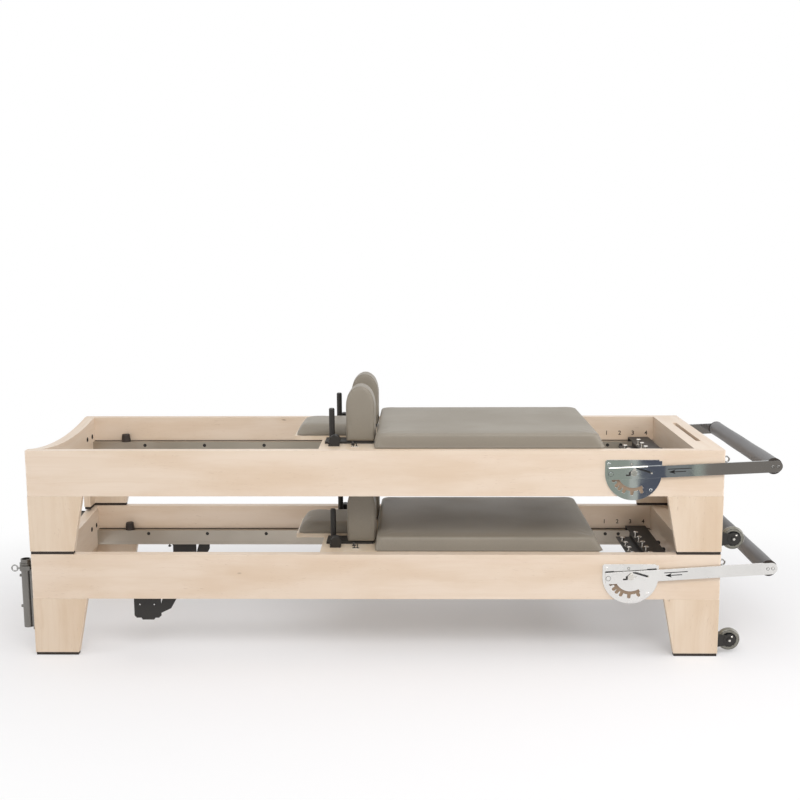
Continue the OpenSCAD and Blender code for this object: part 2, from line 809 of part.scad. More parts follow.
// Plates, strap pegs, rope clamps and the headrest's hinge on the deck
module shoulder_fittings() {
    x0 = peg_x - 24;
    x1 = rest_x + rest_l / 2 - 8;
    y0 = rest_y - rest_w / 2 + 3;
    y1 = max(rest_y + rest_w / 2 - 4, peg_y + peg_r + 8);
    color(black) both_sides() {
        difference() {
            block([x0, y0, deck_top], [x1, y1, plate_top]);
            for (x = [-rest_post_x, rest_post_x])
                translate([rest_x + x, rest_y, deck_top - 1])
                    cylinder(r = rest_post_r + fit, h = rest_plate_t + 2);
        }
        translate([peg_x, peg_y, plate_top - 1]) {
            cylinder(r = peg_r, h = peg_h - peg_r * 0.4 + 1);
            translate([0, 0, peg_h - peg_r * 0.4]) cylinder(r1 = peg_r, r2 = peg_r - 2, h = peg_r * 0.4);
            cylinder(r = peg_r + 4, h = 5);
        }
        difference() {
            y_rod(clamp_x, clamp_y - clamp_w / 2, deck_top + clamp_r, clamp_r, clamp_w);
            for (y = [-10, 0, 10])
                translate([clamp_x, clamp_y + y, deck_top + clamp_r]) rotate([90, 0, 0])
                    rotate_extrude() translate([clamp_r, 0]) square([3, 3], center = true);
        }
        block([clamp_x - 22, clamp_y - clamp_w / 2, deck_top],
            [clamp_x + 16, clamp_y + clamp_w / 2, deck_top + 5]);
    }
    color(chrome) {
        both_sides() {
            x_rod(clamp_x - clamp_r - 5, clamp_y, deck_top + 9, 4, 8);
            translate([-76, clamp_y - 10, deck_top]) {
                cylinder(r = 7, h = 2);
                cylinder(r = 3, h = 9);
                translate([0, 0, 8]) cylinder(r1 = 6, r2 = 4, h = 4);
            }
            difference() {
                block([headrest_end - 6, headrest_ear_y + gap, deck_top - headrest_recess],
                    [headrest_end + 6, headrest_ear_y + 6, headrest_pin_z + 6]);
                y_rod(headrest_end, headrest_ear_y - 1, headrest_pin_z, headrest_pin_r, 9);
            }
            y_rod(headrest_end, headrest_ear_y - headrest_knuckle_w - 2, headrest_pin_z,
                headrest_pin_r, headrest_knuckle_w + 10);
        }
    }
}

// Tension springs, parked between the two plates under the deck
module springs() {
    color(chrome) for (k = [0 : hook_count - 1]) {
        y = (k - 2) * hook_pitch;
        x_rod(coil_x, y, spring_z, spring_d / 2, spring_coil_l);
        x_rod(anchor_x - 6, y, spring_z, spring_pin_r, coil_x - anchor_x + 8);
        x_rod(coil_x + spring_coil_l - 1, y, spring_z, spring_pin_r,
            spring_rest_x + anchor_t + 6 - coil_x - spring_coil_l);
        x_rod(anchor_x - 8, y, spring_z, 5, 3);
        x_rod(spring_rest_x + anchor_t + 3, y, spring_z, 5, 3);
    }
}

// Upright tubes on the head end that the tower's posts drop into
module tower_receivers() {
    z0 = socket_top - socket_l;
    r = socket_d / 2;
    color(steel) both_sides() {
        difference() {
            union() {
                translate([socket_x, socket_y, z0]) cylinder(r = r, h = socket_l);
                translate([socket_x, socket_y, pin_z - 14]) cylinder(r = r + 4, h = 28);
                block([socket_x, socket_y - 9, z0 + 4],
                    [-end_x - socket_plate_t, socket_y + 9, socket_top - 12]);
                block([-end_x - socket_plate_t, socket_y - socket_plate_w / 2, z0 - 4],
                    [-end_x, socket_y + socket_plate_w / 2, socket_top - 22]);
                block([socket_x - 12, socket_y + r - 3, pin_z - 7],
                    [-end_x - socket_plate_t, pin_y + pull_pin_r + 3, pin_z + 7]);
            }
            translate([socket_x, socket_y, z0 + 6]) cylinder(r = socket_bore_r, h = socket_l);
            x_rod(socket_x - 13, pin_y, pin_z, pull_pin_r + fit, 40);
        }
        for (z = [pin_z - 33, pin_z - 144])
            x_rod(socket_x - r - 6, socket_y, z, 5, 7);
        for (z = [pin_z - 30, pin_z - 174])
            for (y = [-17, 17])
                x_rod(-end_x - socket_plate_t - 4, socket_y + y, z, 4.5, 4.5);
    }
}

// Pull pin with a ring, on the near or far receiver
module tower_pin(side) {
    color(chrome) translate([0, side * pin_y, pin_z]) {
        x_rod(socket_x - pull_out, 0, 0, pull_pin_r, pull_out + 14);
        translate([socket_x - pull_out + 1 - pull_ring_r + pull_wire_r, 0, 0])
            wire_ring(pull_ring_r, pull_wire_r);
    }
}

// Black plates that hang below the rails near the head end
module under_brackets() {
    z0 = rail_z - under_drop;
    x0 = under_x - under_l / 2;
    x1 = under_x + under_l / 2;
    color(black) both_sides() {
        difference() {
            union() {
                translate([0, under_y + 5, 0]) rotate([90, 0, 0]) linear_extrude(5) {
                    polygon([[x0, rail_z], [x0, z0 + 15], [x0 + 8, z0 + 7], [x1 - 8, z0 + 7],
                        [x1, z0 + 15], [x1, rail_z]]);
                    polygon([[x0 + 24, z0 + 8], [x0 + 28, z0], [x1 - 26, z0], [x1 - 20, z0 + 8]]);
                    polygon([[x1 - 1, z0 + 53], [x1 - 1, z0 + 24], [x1 + 36, z0 + 42],
                        [x1 + 55, z0 + 76], [x1 + 55, rail_z], [x1 + 12, rail_z]]);
                }
                block([x0, under_y - 8, rail_z - 5], [x1, inner_y, rail_z]);
                block([x0 + 28, under_y - 14, z0], [x1 - 26, under_y + 1, z0 + 4]);
            }
            for (x = [x0 + 20, x1 - 24])
                y_rod(x, under_y - 1, rail_z - 42, 3, 7);
        }
    }
    color(chrome) both_sides() translate([x0 - 14, under_y + 4, rail_z - 14]) {
        cylinder(r = 3, h = 14);
        cylinder(r1 = 5, r2 = 7, h = 4);
    }
}

lower() side_boards();  // lower_side_boards
lower() head_board();  // lower_head_board
lower() foot_board();  // lower_foot_board
lower() legs();  // lower_legs
lower() leg_pads();  // lower_leg_pads
lower() rails();  // lower_rails
lower() strap_hooks();  // lower_strap_hooks
lower() rail_bumpers();  // lower_rail_bumpers
lower() spring_bar();  // lower_spring_bar
lower() spring_hooks();  // lower_spring_hooks
lower() quadrants();  // lower_quadrants
lower() wheel_brackets();  // lower_wheel_brackets
lower() transport_wheel(-1);  // lower_near_wheel
lower() transport_wheel(1);  // lower_far_wheel
lower() footbar_pivots(lower_tilt);  // lower_footbar_pivots
lower() footbar_arms(lower_tilt);  // lower_footbar_arms
lower() footbar_grip(lower_tilt);  // lower_footbar_grip
lower() carriage_deck();  // lower_carriage_deck
lower() undercarriage();  // lower_undercarriage
lower() wheel_pair(front_axle_x);  // lower_front_wheels
lower() wheel_pair(rear_axle_x);  // lower_rear_wheels
lower() carriage_pad();  // lower_carriage_pad
lower() headrest_board();  // lower_headrest_board
lower() headrest_pad();  // lower_headrest_pad
lower() mirror([0, 1, 0]) shoulder_rest();  // lower_near_shoulder_rest
lower() shoulder_rest();  // lower_far_shoulder_rest
lower() shoulder_fittings();  // lower_shoulder_fittings
lower() springs();  // lower_springs
upper() side_boards();  // upper_side_boards
upper() head_board();  // upper_head_board
upper() foot_board();  // upper_foot_board
upper() legs();  // upper_legs
upper() leg_pads();  // upper_leg_pads
upper() rails();  // upper_rails
upper() strap_hooks();  // upper_strap_hooks
upper() rail_bumpers();  // upper_rail_bumpers
upper() spring_bar();  // upper_spring_bar
upper() spring_hooks();  // upper_spring_hooks
upper() quadrants();  // upper_quadrants
upper() wheel_brackets();  // upper_wheel_brackets
upper() transport_wheel(-1);  // upper_near_wheel
upper() transport_wheel(1);  // upper_far_wheel
upper() footbar_pivots(upper_tilt);  // upper_footbar_pivots
upper() footbar_arms(upper_tilt);  // upper_footbar_arms
upper() footbar_grip(upper_tilt);  // upper_footbar_grip
upper() carriage_deck();  // upper_carriage_deck
upper() undercarriage();  // upper_undercarriage
upper() wheel_pair(front_axle_x);  // upper_front_wheels
upper() wheel_pair(rear_axle_x);  // upper_rear_wheels
upper() carriage_pad();  // upper_carriage_pad
upper() headrest_board();  // upper_headrest_board
upper() headrest_pad();  // upper_headrest_pad
upper() mirror([0, 1, 0]) shoulder_rest();  // upper_near_shoulder_rest
upper() shoulder_rest();  // upper_far_shoulder_rest
upper() shoulder_fittings();  // upper_shoulder_fittings
upper() springs();  // upper_springs
lower() tower_receivers();
lower() tower_pin(-1);  // near_tower_pin
lower() tower_pin(1);  // far_tower_pin
lower() under_brackets();
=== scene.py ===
"""Stack of two pilates reformer beds with sockets for a tower at the head end.

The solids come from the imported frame. This script dresses them: lacquered maple, anodised
rails, chrome and powder-coated steel, vinyl cushions, foam grips and coiled springs. It
then sets up a pale studio and the camera of the photograph.
"""

from __future__ import annotations

import json
import logging
import math
from collections.abc import Callable, Iterable, Iterator, Sequence
from contextlib import contextmanager
from dataclasses import dataclass, field
from enum import Enum

import bpy
from mathutils import Matrix, Vector

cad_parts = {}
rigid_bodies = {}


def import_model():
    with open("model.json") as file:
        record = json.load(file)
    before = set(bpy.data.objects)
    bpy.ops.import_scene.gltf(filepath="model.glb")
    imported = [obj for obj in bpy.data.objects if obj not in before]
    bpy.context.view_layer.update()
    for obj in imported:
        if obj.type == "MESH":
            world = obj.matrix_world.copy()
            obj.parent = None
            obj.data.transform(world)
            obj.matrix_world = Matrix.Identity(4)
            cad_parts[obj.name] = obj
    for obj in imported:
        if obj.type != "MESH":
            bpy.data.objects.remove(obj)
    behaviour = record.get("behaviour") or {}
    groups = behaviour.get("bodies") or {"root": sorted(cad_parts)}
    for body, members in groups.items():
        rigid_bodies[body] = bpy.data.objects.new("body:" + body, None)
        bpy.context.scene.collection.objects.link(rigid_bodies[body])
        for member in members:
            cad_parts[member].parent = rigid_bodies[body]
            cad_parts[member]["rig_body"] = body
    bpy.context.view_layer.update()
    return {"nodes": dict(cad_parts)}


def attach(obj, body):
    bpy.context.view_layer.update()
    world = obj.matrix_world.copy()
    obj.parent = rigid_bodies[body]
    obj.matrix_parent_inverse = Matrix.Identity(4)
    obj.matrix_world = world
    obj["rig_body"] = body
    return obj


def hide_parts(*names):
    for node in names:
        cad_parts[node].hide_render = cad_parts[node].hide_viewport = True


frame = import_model()

log = logging.getLogger("reformer")

Colour = tuple[float, float, float]
Triple = tuple[float, float, float]
Profile = Sequence[tuple[float, float]]
Piece = bpy.types.Object
Tree = bpy.types.NodeTree
Node = bpy.types.Node
Socket = bpy.types.NodeSocket

MIDDLE_X = -0.0565  # middle of the wooden frame
INNER_Y = 0.321  # inner face of a side board
ARM_FACE_MM = 362.6  # outer face of a footbar arm
PLATE_FACE_MM = 356.0  # outer face of a quadrant plate
SIDES = (-1, 1)  # near side and far side
EDGE_LAYER = "broken_edge"  # face attribute: 1 on the narrow faces of a broken edge


class Unit(Enum):
    """One of the two equal beds, by its height above the floor."""

    LOWER = 0.0
    UPPER = 0.365

    @property
    def prefix(self) -> str:
        """Start of the names of this unit's nodes and bodies."""
        return self.name.lower() + "_"

    @property
    def rise_mm(self) -> float:
        """How far this unit stands above the lower one."""
        return self.value * 1000


class Grain(Enum):
    """Axis that the wood's fibres follow, and the turn that brings it to X."""

    ALONG_X = (0.0, 0.0, 0.0)
    ALONG_Y = (0.0, 0.0, math.pi / 2)
    ALONG_Z = (0.0, math.pi / 2, 0.0)


def srgb(red: int, green: int, blue: int) -> Colour:
    """Linear colour for three display values from 0 to 255."""

    def linear(value: int) -> float:
        c = value / 255
        return c / 12.92 if c <= 0.04045 else ((c + 0.055) / 1.055) ** 2.4

    return linear(red), linear(green), linear(blue)


def at(x_mm: float, y_mm: float, z_mm: float) -> Vector:
    """Place in metres of a point given in millimetres from the frame's middle."""
    return Vector((x_mm / 1000 + MIDDLE_X, y_mm / 1000, z_mm / 1000))


# ---- shader building ----


class NodeBench:
    """Adds and joins nodes in one shader tree.

    Args:
        tree: The node tree of a material, world or group.
    """

    def __init__(self, tree: Tree) -> None:
        self.tree = tree

    def add(self, kind: str, **settings: object) -> Node:
        """Adds a node.

        Args:
            kind: Node type, such as ShaderNodeMix.
            settings: Properties of the node, by name.

        Returns:
            The new node.
        """
        node = self.tree.nodes.new(kind)
        for name, value in settings.items():
            setattr(node, name, value)
        return node

    def put(self, socket: Socket, value: object) -> None:
        """Links an input to a socket or sets it to a value."""
        if isinstance(value, Socket):
            self.tree.links.new(value, socket)
        else:
            socket.default_value = value

    def feed(self, node: Node, **inputs: object) -> Node:
        """Links or sets a node's inputs.

        Args:
            node: The node to feed.
            inputs: Values or output sockets, by the input's name with _ for spaces.

        Returns:
            The same node.
        """
        for name, value in inputs.items():
            self.put(node.inputs[name.replace("_", " ")], value)
        return node

    def noise(self, vector: Socket, scale: float, detail: float = 3.0,
              roughness: float = 0.5) -> Socket:
        """Noise texture's value on a vector."""
        node = self.add("ShaderNodeTexNoise")
        self.feed(node, Vector=vector, Scale=scale, Detail=detail, Roughness=roughness)
        return node.outputs["Fac"]

    def stretch(self, vector: Socket, scale: Triple,
                turn: Triple = (0.0, 0.0, 0.0)) -> Socket:
        """Vector turned and then scaled along each axis."""
        rotated = self.add("ShaderNodeMapping", vector_type="POINT")
        self.feed(rotated, Vector=vector, Rotation=turn)
        scaled = self.add("ShaderNodeMapping", vector_type="POINT")
        self.feed(scaled, Vector=rotated.outputs["Vector"], Scale=scale)
        return scaled.outputs["Vector"]

    def ramp(self, value: Socket, low: float, high: float, out_low: object = 0.0,
             out_high: object = 1.0) -> Socket:
        """Value mapped from one range to another, smooth and clamped."""
        node = self.add("ShaderNodeMapRange", interpolation_type="SMOOTHSTEP", clamp=True)
        self.feed(node, Value=value, From_Min=low, From_Max=high, To_Min=out_low, To_Max=out_high)
        return node.outputs["Result"]

    def sum(self, a: object, b: object, operation: str = "ADD") -> Socket:
        """Result of a math node on two numbers or sockets."""
        node = self.add("ShaderNodeMath", operation=operation)
        self.put(node.inputs[0], a)
        self.put(node.inputs[1], b)
        return node.outputs[0]

    def mix(self, factor: object, a: object, b: object, blend: str = "MIX") -> Socket:
        """Colour between two colours or sockets."""
        node = self.add("ShaderNodeMix", data_type="RGBA", blend_type=blend)
        self.put(node.inputs[0], factor)
        for index, value in ((6, a), (7, b)):
            self.put(node.inputs[index], value if isinstance(value, Socket) else (*value, 1.0)[:4])
        return node.outputs[2]

    def bump(self, height: Socket, depth: float, strength: float = 1.0) -> Socket:
        """Normal for a height that is depth metres between 0 and 1."""
        node = self.add("ShaderNodeBump")
        self.feed(node, Height=height, Distance=depth, Strength=strength)
        return node.outputs["Normal"]

    def blend(self, factor: Socket, first: Node, second: Node,
              end: str) -> None:
        """Mixes two shaders into the surface of the output node named end."""
        node = self.add("ShaderNodeMixShader")
        for index, socket in enumerate((factor, first.outputs[0], second.outputs[0])):
            self.put(node.inputs[index], socket)
        self.put(self.tree.nodes[end].inputs["Surface"], node.outputs[0])


def new_group(name: str, inputs: dict[str, object], outputs: Iterable[tuple[str, str]]) -> tuple[
        Tree, NodeBench, Node, Node]:
    """Starts a shader node group.

    Args:
        name: The group's name.
        inputs: Default values by input name: a number, a colour or None for a vector.
        outputs: Pairs of output name and kind, Color, Float or Vector.

    Returns:
        The tree, a bench on it, and its input and output nodes.
    """
    tree = bpy.data.node_groups.new(name, "ShaderNodeTree")
    for label, value in inputs.items():
        kind = "NodeSocketVector" if value is None else (
            "NodeSocketFloat" if isinstance(value, float) else "NodeSocketColor")
        socket = tree.interface.new_socket(label, in_out="INPUT", socket_type=kind)
        if value is not None:
            socket.default_value = value if isinstance(value, float) else (*value, 1.0)
    for label, kind in outputs:
        tree.interface.new_socket(label, in_out="OUTPUT", socket_type="NodeSocket" + kind)
    bench = NodeBench(tree)
    return tree, bench, bench.add("NodeGroupInput"), bench.add("NodeGroupOutput")


def group_once(name: str, make: Callable[[], Tree]) -> Tree:
    """A shader node group by name, made the first time that it is asked for."""
    return bpy.data.node_groups.get(name) or make()


def timber_figure() -> Tree:
    """Group for pale maple: soft clouds, fine streaks, short flecks and rare pin knots.

    Returns:
        A group whose Vector runs along X with the fibres.
    """
    tree, b, start, end = new_group(
        "Timber Figure",
        {"Vector": None, "Pale": (0.8, 0.7, 0.6), "Warm": (0.7, 0.55, 0.42), "Streaks": 1.0, "Flecks": 1.0},
        (("Color", "Color"), ("Roughness", "Float"), ("Height", "Float")))
    v = start.outputs["Vector"]
    drift = b.noise(b.stretch(v, (0.7, 1.6, 1.6)), 1.6, 2.0)
    clouds = b.noise(b.stretch(v, (1.1, 5.0, 5.0)), 2.3, 4.0, 0.55)
    bent = b.add("ShaderNodeVectorMath", operation="MULTIPLY_ADD")
    b.put(bent.inputs[0], v)
    b.put(bent.inputs[1], (1.0, 1.0, 1.0))
    wave = b.add("ShaderNodeCombineXYZ")
    b.feed(wave, Y=b.ramp(drift, 0.3, 0.7, -0.012, 0.012), Z=b.ramp(clouds, 0.3, 0.7, -0.01, 0.01))
    b.put(bent.inputs[2], wave.outputs["Vector"])
    flow = bent.outputs["Vector"]
    streaks = b.noise(b.stretch(flow, (2.2, 95.0, 95.0)), 1.0, 5.0, 0.62)
    rings = b.noise(b.stretch(flow, (0.9, 22.0, 22.0)), 1.0, 2.0, 0.4)
    dashes = b.noise(b.stretch(flow, (38.0, 620.0, 620.0)), 1.0, 1.5, 0.5)
    patch = b.noise(b.stretch(v, (3.0, 9.0, 9.0)), 1.3, 1.0)
    fleck = b.sum(b.ramp(dashes, 0.64, 0.76), b.ramp(patch, 0.42, 0.6), "MULTIPLY")
    pins = b.add("ShaderNodeTexVoronoi", feature="F1")
    b.feed(pins, Vector=b.stretch(flow, (1.0, 2.6, 2.6)), Scale=2.1)
    knot = b.ramp(pins.outputs["Distance"], 0.008, 0.03, 1.0, 0.0)
    halo = b.ramp(pins.outputs["Distance"], 0.02, 0.13, 1.0, 0.0)
    warm = start.outputs["Warm"]
    tone = b.mix(b.ramp(clouds, 0.34, 0.72, 0.0, 0.6), start.outputs["Pale"], warm)
    for lines, low, high, most in ((rings, 0.4, 0.72, 0.18), (streaks, 0.45, 0.75, 0.22)):
        share = b.sum(b.ramp(lines, low, high, 0.0, most), start.outputs["Streaks"], "MULTIPLY")
        tone = b.mix(share, tone, warm)
    tone = b.mix(b.sum(halo, 0.3, "MULTIPLY"), tone, warm)
    tone = b.mix(b.sum(b.sum(fleck, start.outputs["Flecks"], "MULTIPLY"), 0.3, "MULTIPLY"), tone,
                 srgb(150, 112, 82))
    tone = b.mix(b.sum(knot, 0.7, "MULTIPLY"), tone, srgb(112, 78, 54))
    b.feed(end, Color=tone, Roughness=b.ramp(streaks, 0.3, 0.75, 0.36, 0.5),
           Height=b.sum(streaks, b.sum(fleck, -0.5, "MULTIPLY"), "ADD"))
    return tree


def edge_wear() -> Tree:
    """Group that finds the rubbed broken edges of a shape and leaves the rest at 0."""
    tree, b, start, end = new_group("Edge Wear", {"Vector": None, "Amount": 1.0}, (("Mask", "Float"),))
    edge = b.add("ShaderNodeAttribute", attribute_name=EDGE_LAYER)
    rubbed = b.noise(start.outputs["Vector"], 60.0, 3.0, 0.6)
    mask = b.sum(edge.outputs["Fac"], b.ramp(rubbed, 0.4, 0.62), "MULTIPLY")
    b.feed(end, Mask=b.sum(mask, start.outputs["Amount"], "MULTIPLY"))
    return tree


def pebble_grain() -> Tree:
    """Group for the pebbled skin of vinyl or moulded foam: Size is the cells per metre."""
    tree, b, start, end = new_group("Pebble Grain", {"Vector": None, "Size": 700.0},
                                    (("Height", "Float"), ("Tone", "Float")))
    v = start.outputs["Vector"]
    cells = b.add("ShaderNodeTexVoronoi", feature="SMOOTH_F1")
    b.feed(cells, Vector=v, Scale=start.outputs["Size"], Smoothness=0.6)
    fine = b.feed(b.add("ShaderNodeTexNoise"), Vector=v, Scale=start.outputs["Size"], Detail=2.0)
    wide = b.noise(v, 3.5, 3.0)
    height = b.sum(b.ramp(cells.outputs["Distance"], 0.1, 0.8), b.sum(fine.outputs["Fac"], 0.35, "MULTIPLY"))
    b.feed(end, Height=height, Tone=wide)
    return tree


def handling_marks() -> Tree:
    """Group for smudges and fine lines along Grain on metal."""
    tree, b, start, end = new_group("Handling Marks", {"Vector": None, "Low": 0.08, "High": 0.25},
                                    (("Roughness", "Float"), ("Height", "Float")))
    v = start.outputs["Vector"]
    smudge = b.noise(v, 9.0, 4.0, 0.6)
    lines = b.noise(b.stretch(v, (4.0, 900.0, 900.0)), 1.0, 2.0, 0.5)
    spread = b.ramp(smudge, 0.35, 0.7, start.outputs["Low"], start.outputs["High"])
    b.feed(end, Roughness=spread, Height=lines)
    return tree


@dataclass(frozen=True)
class Finish:
    """A surface finish that becomes one material.

    Args:
        label: Name of the material.
    """

    label: str

    def material(self) -> bpy.types.Material:
        """The material, made the first time that it is asked for."""
        known = bpy.data.materials.get(self.label)
        if known:
            return known
        made = bpy.data.materials.new(self.label)
        made.use_nodes = True
        bench = NodeBench(made.node_tree)
        shader = made.node_tree.nodes["Principled BSDF"]
        place = bench.add("ShaderNodeTexCoord").outputs["Object"]
        self.dress(bench, shader, place)
        return made

    def group(self, bench: NodeBench, name: str, make: Callable[[], Tree],
              **inputs: object) -> Node:
        """Places a shared node group in the material and feeds it."""
        node = bench.add("ShaderNodeGroup", node_tree=group_once(name, make))
        return bench.feed(node, **inputs)

    def dress(self, bench: NodeBench, shader: Node, place: Socket) -> None:
        """Feeds the shader. Each finish has its own way."""
        raise NotImplementedError


@dataclass(frozen=True)
class Maple(Finish):
    """Clear-lacquered maple with fibres along one axis."""

    pale: Colour = srgb(226, 208, 189)
    warm: Colour = srgb(210, 184, 156)
    grain: Grain = Grain.ALONG_X
    shift: Triple = (0.0, 0.0, 0.0)
    streaks: float = 1.0

    def dress(self, bench: NodeBench, shader: Node, place: Socket) -> None:
        """Figure on the colour, a faint relief, and a thin coat of lacquer."""
        moved = bench.add("ShaderNodeMapping", vector_type="POINT")
        bench.feed(moved, Vector=place, Location=self.shift, Rotation=self.grain.value)
        figure = self.group(bench, "Timber Figure", timber_figure, Vector=moved.outputs["Vector"],
                            Pale=(*self.pale, 1.0), Warm=(*self.warm, 1.0), Streaks=self.streaks,
                            Flecks=1.0)
        worn = self.group(bench, "Edge Wear", edge_wear, Vector=place, Amount=0.35)
        colour = bench.mix(worn.outputs["Mask"], figure.outputs["Color"], srgb(246, 234, 221))
        bench.feed(shader, Base_Color=colour, Roughness=figure.outputs["Roughness"],
                   Normal=bench.bump(figure.outputs["Height"], 0.00012, 0.5))
        bench.feed(shader, Coat_Weight=0.22, Coat_Roughness=0.28)


@dataclass(frozen=True)
class Metal(Finish):
    """Bare or plated metal with smudges and fine lines."""

    colour: Colour = srgb(205, 208, 210)
    low: float = 0.05
    high: float = 0.16
    relief: float = 0.00001
    along: Grain = Grain.ALONG_X

    def dress(self, bench: NodeBench, shader: Node, place: Socket) -> None:
        """Metal whose roughness follows the smudges and whose relief follows the lines."""
        lines = bench.stretch(place, (1.0, 1.0, 1.0), self.along.value)
        marks = self.group(bench, "Handling Marks", handling_marks, Vector=lines, Low=self.low,
                           High=self.high)
        tone = bench.ramp(bench.noise(place, 6.0, 2.0), 0.3, 0.7, 0.0, 0.5)
        darker = tuple(c * 0.86 for c in self.colour)
        bench.feed(shader, Base_Color=bench.mix(tone, self.colour, darker),
                   Roughness=marks.outputs["Roughness"],
                   Normal=bench.bump(marks.outputs["Height"], self.relief, 0.35))
        bench.feed(shader, Metallic=1.0)


@dataclass(frozen=True)
class Coated(Finish):
    """Powder coat, rubber or moulded plastic: one colour with a fine texture and rubbed edges."""

    colour: Colour = srgb(35, 32, 29)
    rubbed: Colour = srgb(90, 87, 83)
    roughness: tuple[float, float] = (0.38, 0.52)
    size: float = 900.0
    depth: float = 0.00006
    wear: float = 0.5
    coat: float = 0.0
    clear: float = 0.0

    def dress(self, bench: NodeBench, shader: Node, place: Socket) -> None:
        """Colour with a little drift, lighter on the edges, over a fine relief."""
        skin = self.group(bench, "Pebble Grain", pebble_grain, Vector=place, Size=self.size)
        worn = self.group(bench, "Edge Wear", edge_wear, Vector=place, Amount=self.wear)
        drift = bench.mix(bench.ramp(skin.outputs["Tone"], 0.35, 0.7, 0.0, 0.4), self.colour,
                          tuple(c * 0.75 for c in self.colour))
        colour = bench.mix(worn.outputs["Mask"], drift, self.rubbed)
        bench.feed(shader, Base_Color=colour,
                   Roughness=bench.ramp(skin.outputs["Tone"], 0.3, 0.7, *self.roughness),
                   Normal=bench.bump(skin.outputs["Height"], self.depth, 0.6))
        bench.feed(shader, Coat_Weight=self.coat, Transmission_Weight=self.clear)


@dataclass(frozen=True)
class Upholstery(Finish):
    """Matte vinyl over foam."""

    colour: Colour = srgb(140, 132, 119)
    size: float = 620.0

    def dress(self, bench: NodeBench, shader: Node, place: Socket) -> None:
        """Pebbled vinyl with soft creases, painted shade in the grain's hollows and a low sheen."""
        skin = self.group(bench, "Pebble Grain", pebble_grain, Vector=place, Size=self.size)
        folds = bench.noise(place, 11.0, 2.0, 0.45)
        drift = bench.mix(bench.ramp(skin.outputs["Tone"], 0.35, 0.7, 0.0, 0.5), self.colour,
                          tuple(c * 0.9 for c in self.colour))
        # Painted shade: the low hollows of the pebble grain are darker.
        pore_shade = bench.ramp(skin.outputs["Height"], 0.2, 0.75, 0.55, 0.0)
        colour = bench.mix(pore_shade, drift, tuple(c * 0.72 for c in self.colour))
        height = bench.sum(skin.outputs["Height"], bench.sum(folds, 6.0, "MULTIPLY"))
        bench.feed(shader, Base_Color=colour,
                   Roughness=bench.ramp(skin.outputs["Tone"], 0.3, 0.7, 0.46, 0.58),
                   Normal=bench.bump(height, 0.00009, 0.7))
        bench.feed(shader, Sheen_Weight=0.08, Sheen_Roughness=0.4)


MAPLE_LONG = Maple("Maple along the bed")
MAPLE_LONG_UPPER = Maple("Maple along the upper bed", shift=(0.83, 0.21, 0.4))
MAPLE_CROSS = Maple("Maple across the bed", grain=Grain.ALONG_Y, shift=(0.3, 0.1, 0.7))
MAPLE_LEG = Maple("Maple legs", pale=srgb(221, 202, 180), warm=srgb(204, 177, 147), grain=Grain.ALONG_Z,
                  shift=(0.15, 0.4, 0.2), streaks=1.3)
MAPLE_PLY = Maple("Maple plywood", pale=srgb(233, 217, 196), warm=srgb(216, 192, 162), grain=Grain.ALONG_Y,
                  shift=(0.5, 0.0, 0.0), streaks=0.7)
POLISHED = Metal("Polished chrome", low=0.03, high=0.09, relief=0.000004)
BRIGHT = Metal("Bright plated steel", colour=srgb(218, 214, 207), low=0.16, high=0.3)
PLATE = Metal("Pale plated steel", colour=srgb(229, 227, 224), low=0.16, high=0.3)
FITTING = Metal("Grey plated steel", colour=srgb(158, 157, 155), low=0.2, high=0.32)
SATIN = Metal("Satin steel", colour=srgb(128, 125, 121), low=0.28, high=0.42, relief=0.00002)
ANODISED = Metal("Anodised aluminium", colour=srgb(186, 178, 166), low=0.33, high=0.45, relief=0.00003)
POWDER = Coated("Black powder coat")
BLACK_RUBBER = Coated("Black rubber", colour=srgb(42, 32, 25), rubbed=srgb(70, 64, 58), roughness=(0.6, 0.75),
                      size=500.0, depth=0.0001, wear=0.3)
WHEEL_PLASTIC = Coated("Dark moulded plastic", colour=srgb(46, 46, 48), rubbed=srgb(80, 80, 82), wear=0.3)
TYRE = Coated("Grey translucent tyre", colour=srgb(146, 143, 131), rubbed=srgb(176, 174, 164),
              roughness=(0.22, 0.34), size=260.0, depth=0.00003, wear=0.2, coat=0.4, clear=0.35)
FOAM = Coated("Foam grip", colour=srgb(108, 107, 108), rubbed=srgb(126, 125, 125), roughness=(0.4, 0.5),
              size=420.0, depth=0.00008, wear=0.2)
VINYL = Upholstery("Greige vinyl")
# Painted shade: the colour of the shaded wood seen through the quadrants' toothed slots, put on thin sheets
# behind them.
SLOT_SHADE_PAINT = Coated("Wood in the slots", colour=srgb(150, 128, 106), rubbed=srgb(150, 128, 106),
                     roughness=(0.6, 0.7), wear=0.0)
ENGRAVED = Coated("Burnt engraving", colour=srgb(52, 40, 32), rubbed=srgb(52, 40, 32), roughness=(0.7, 0.8),
                  wear=0.0)
INK = Coated("Black ink", colour=srgb(28, 28, 30), rubbed=srgb(28, 28, 30), roughness=(0.4, 0.5), wear=0.0)


# ---- workshop: making and finishing meshes ----


def deselect() -> None:
    """Clears the selection and leaves edit mode."""
    if bpy.context.mode != "OBJECT":
        bpy.ops.object.mode_set(mode="OBJECT")
    bpy.ops.object.select_all(action="DESELECT")


def take(piece: Piece) -> None:
    """Makes one object the only selected and active one."""
    deselect()
    piece.select_set(True)
    bpy.context.view_layer.objects.active = piece


@contextmanager
def editing(piece: Piece) -> Iterator[None]:
    """Edit mode with the whole mesh selected, and object mode again after it."""
    take(piece)
    bpy.ops.object.mode_set(mode="EDIT")
    bpy.ops.mesh.select_all(action="SELECT")
    yield
    bpy.ops.object.mode_set(mode="OBJECT")


def linked(name: str, data: bpy.types.ID) -> Piece:
    """A new object in the scene for a mesh, curve, lamp or camera."""
    made = bpy.data.objects.new(name, data)
    bpy.context.scene.collection.objects.link(made)
    return made


def settle(piece: Piece) -> None:
    """Moves an object's place, turn and scale into its mesh."""
    take(piece)
    bpy.ops.object.transform_apply(location=True, rotation=True, scale=True)


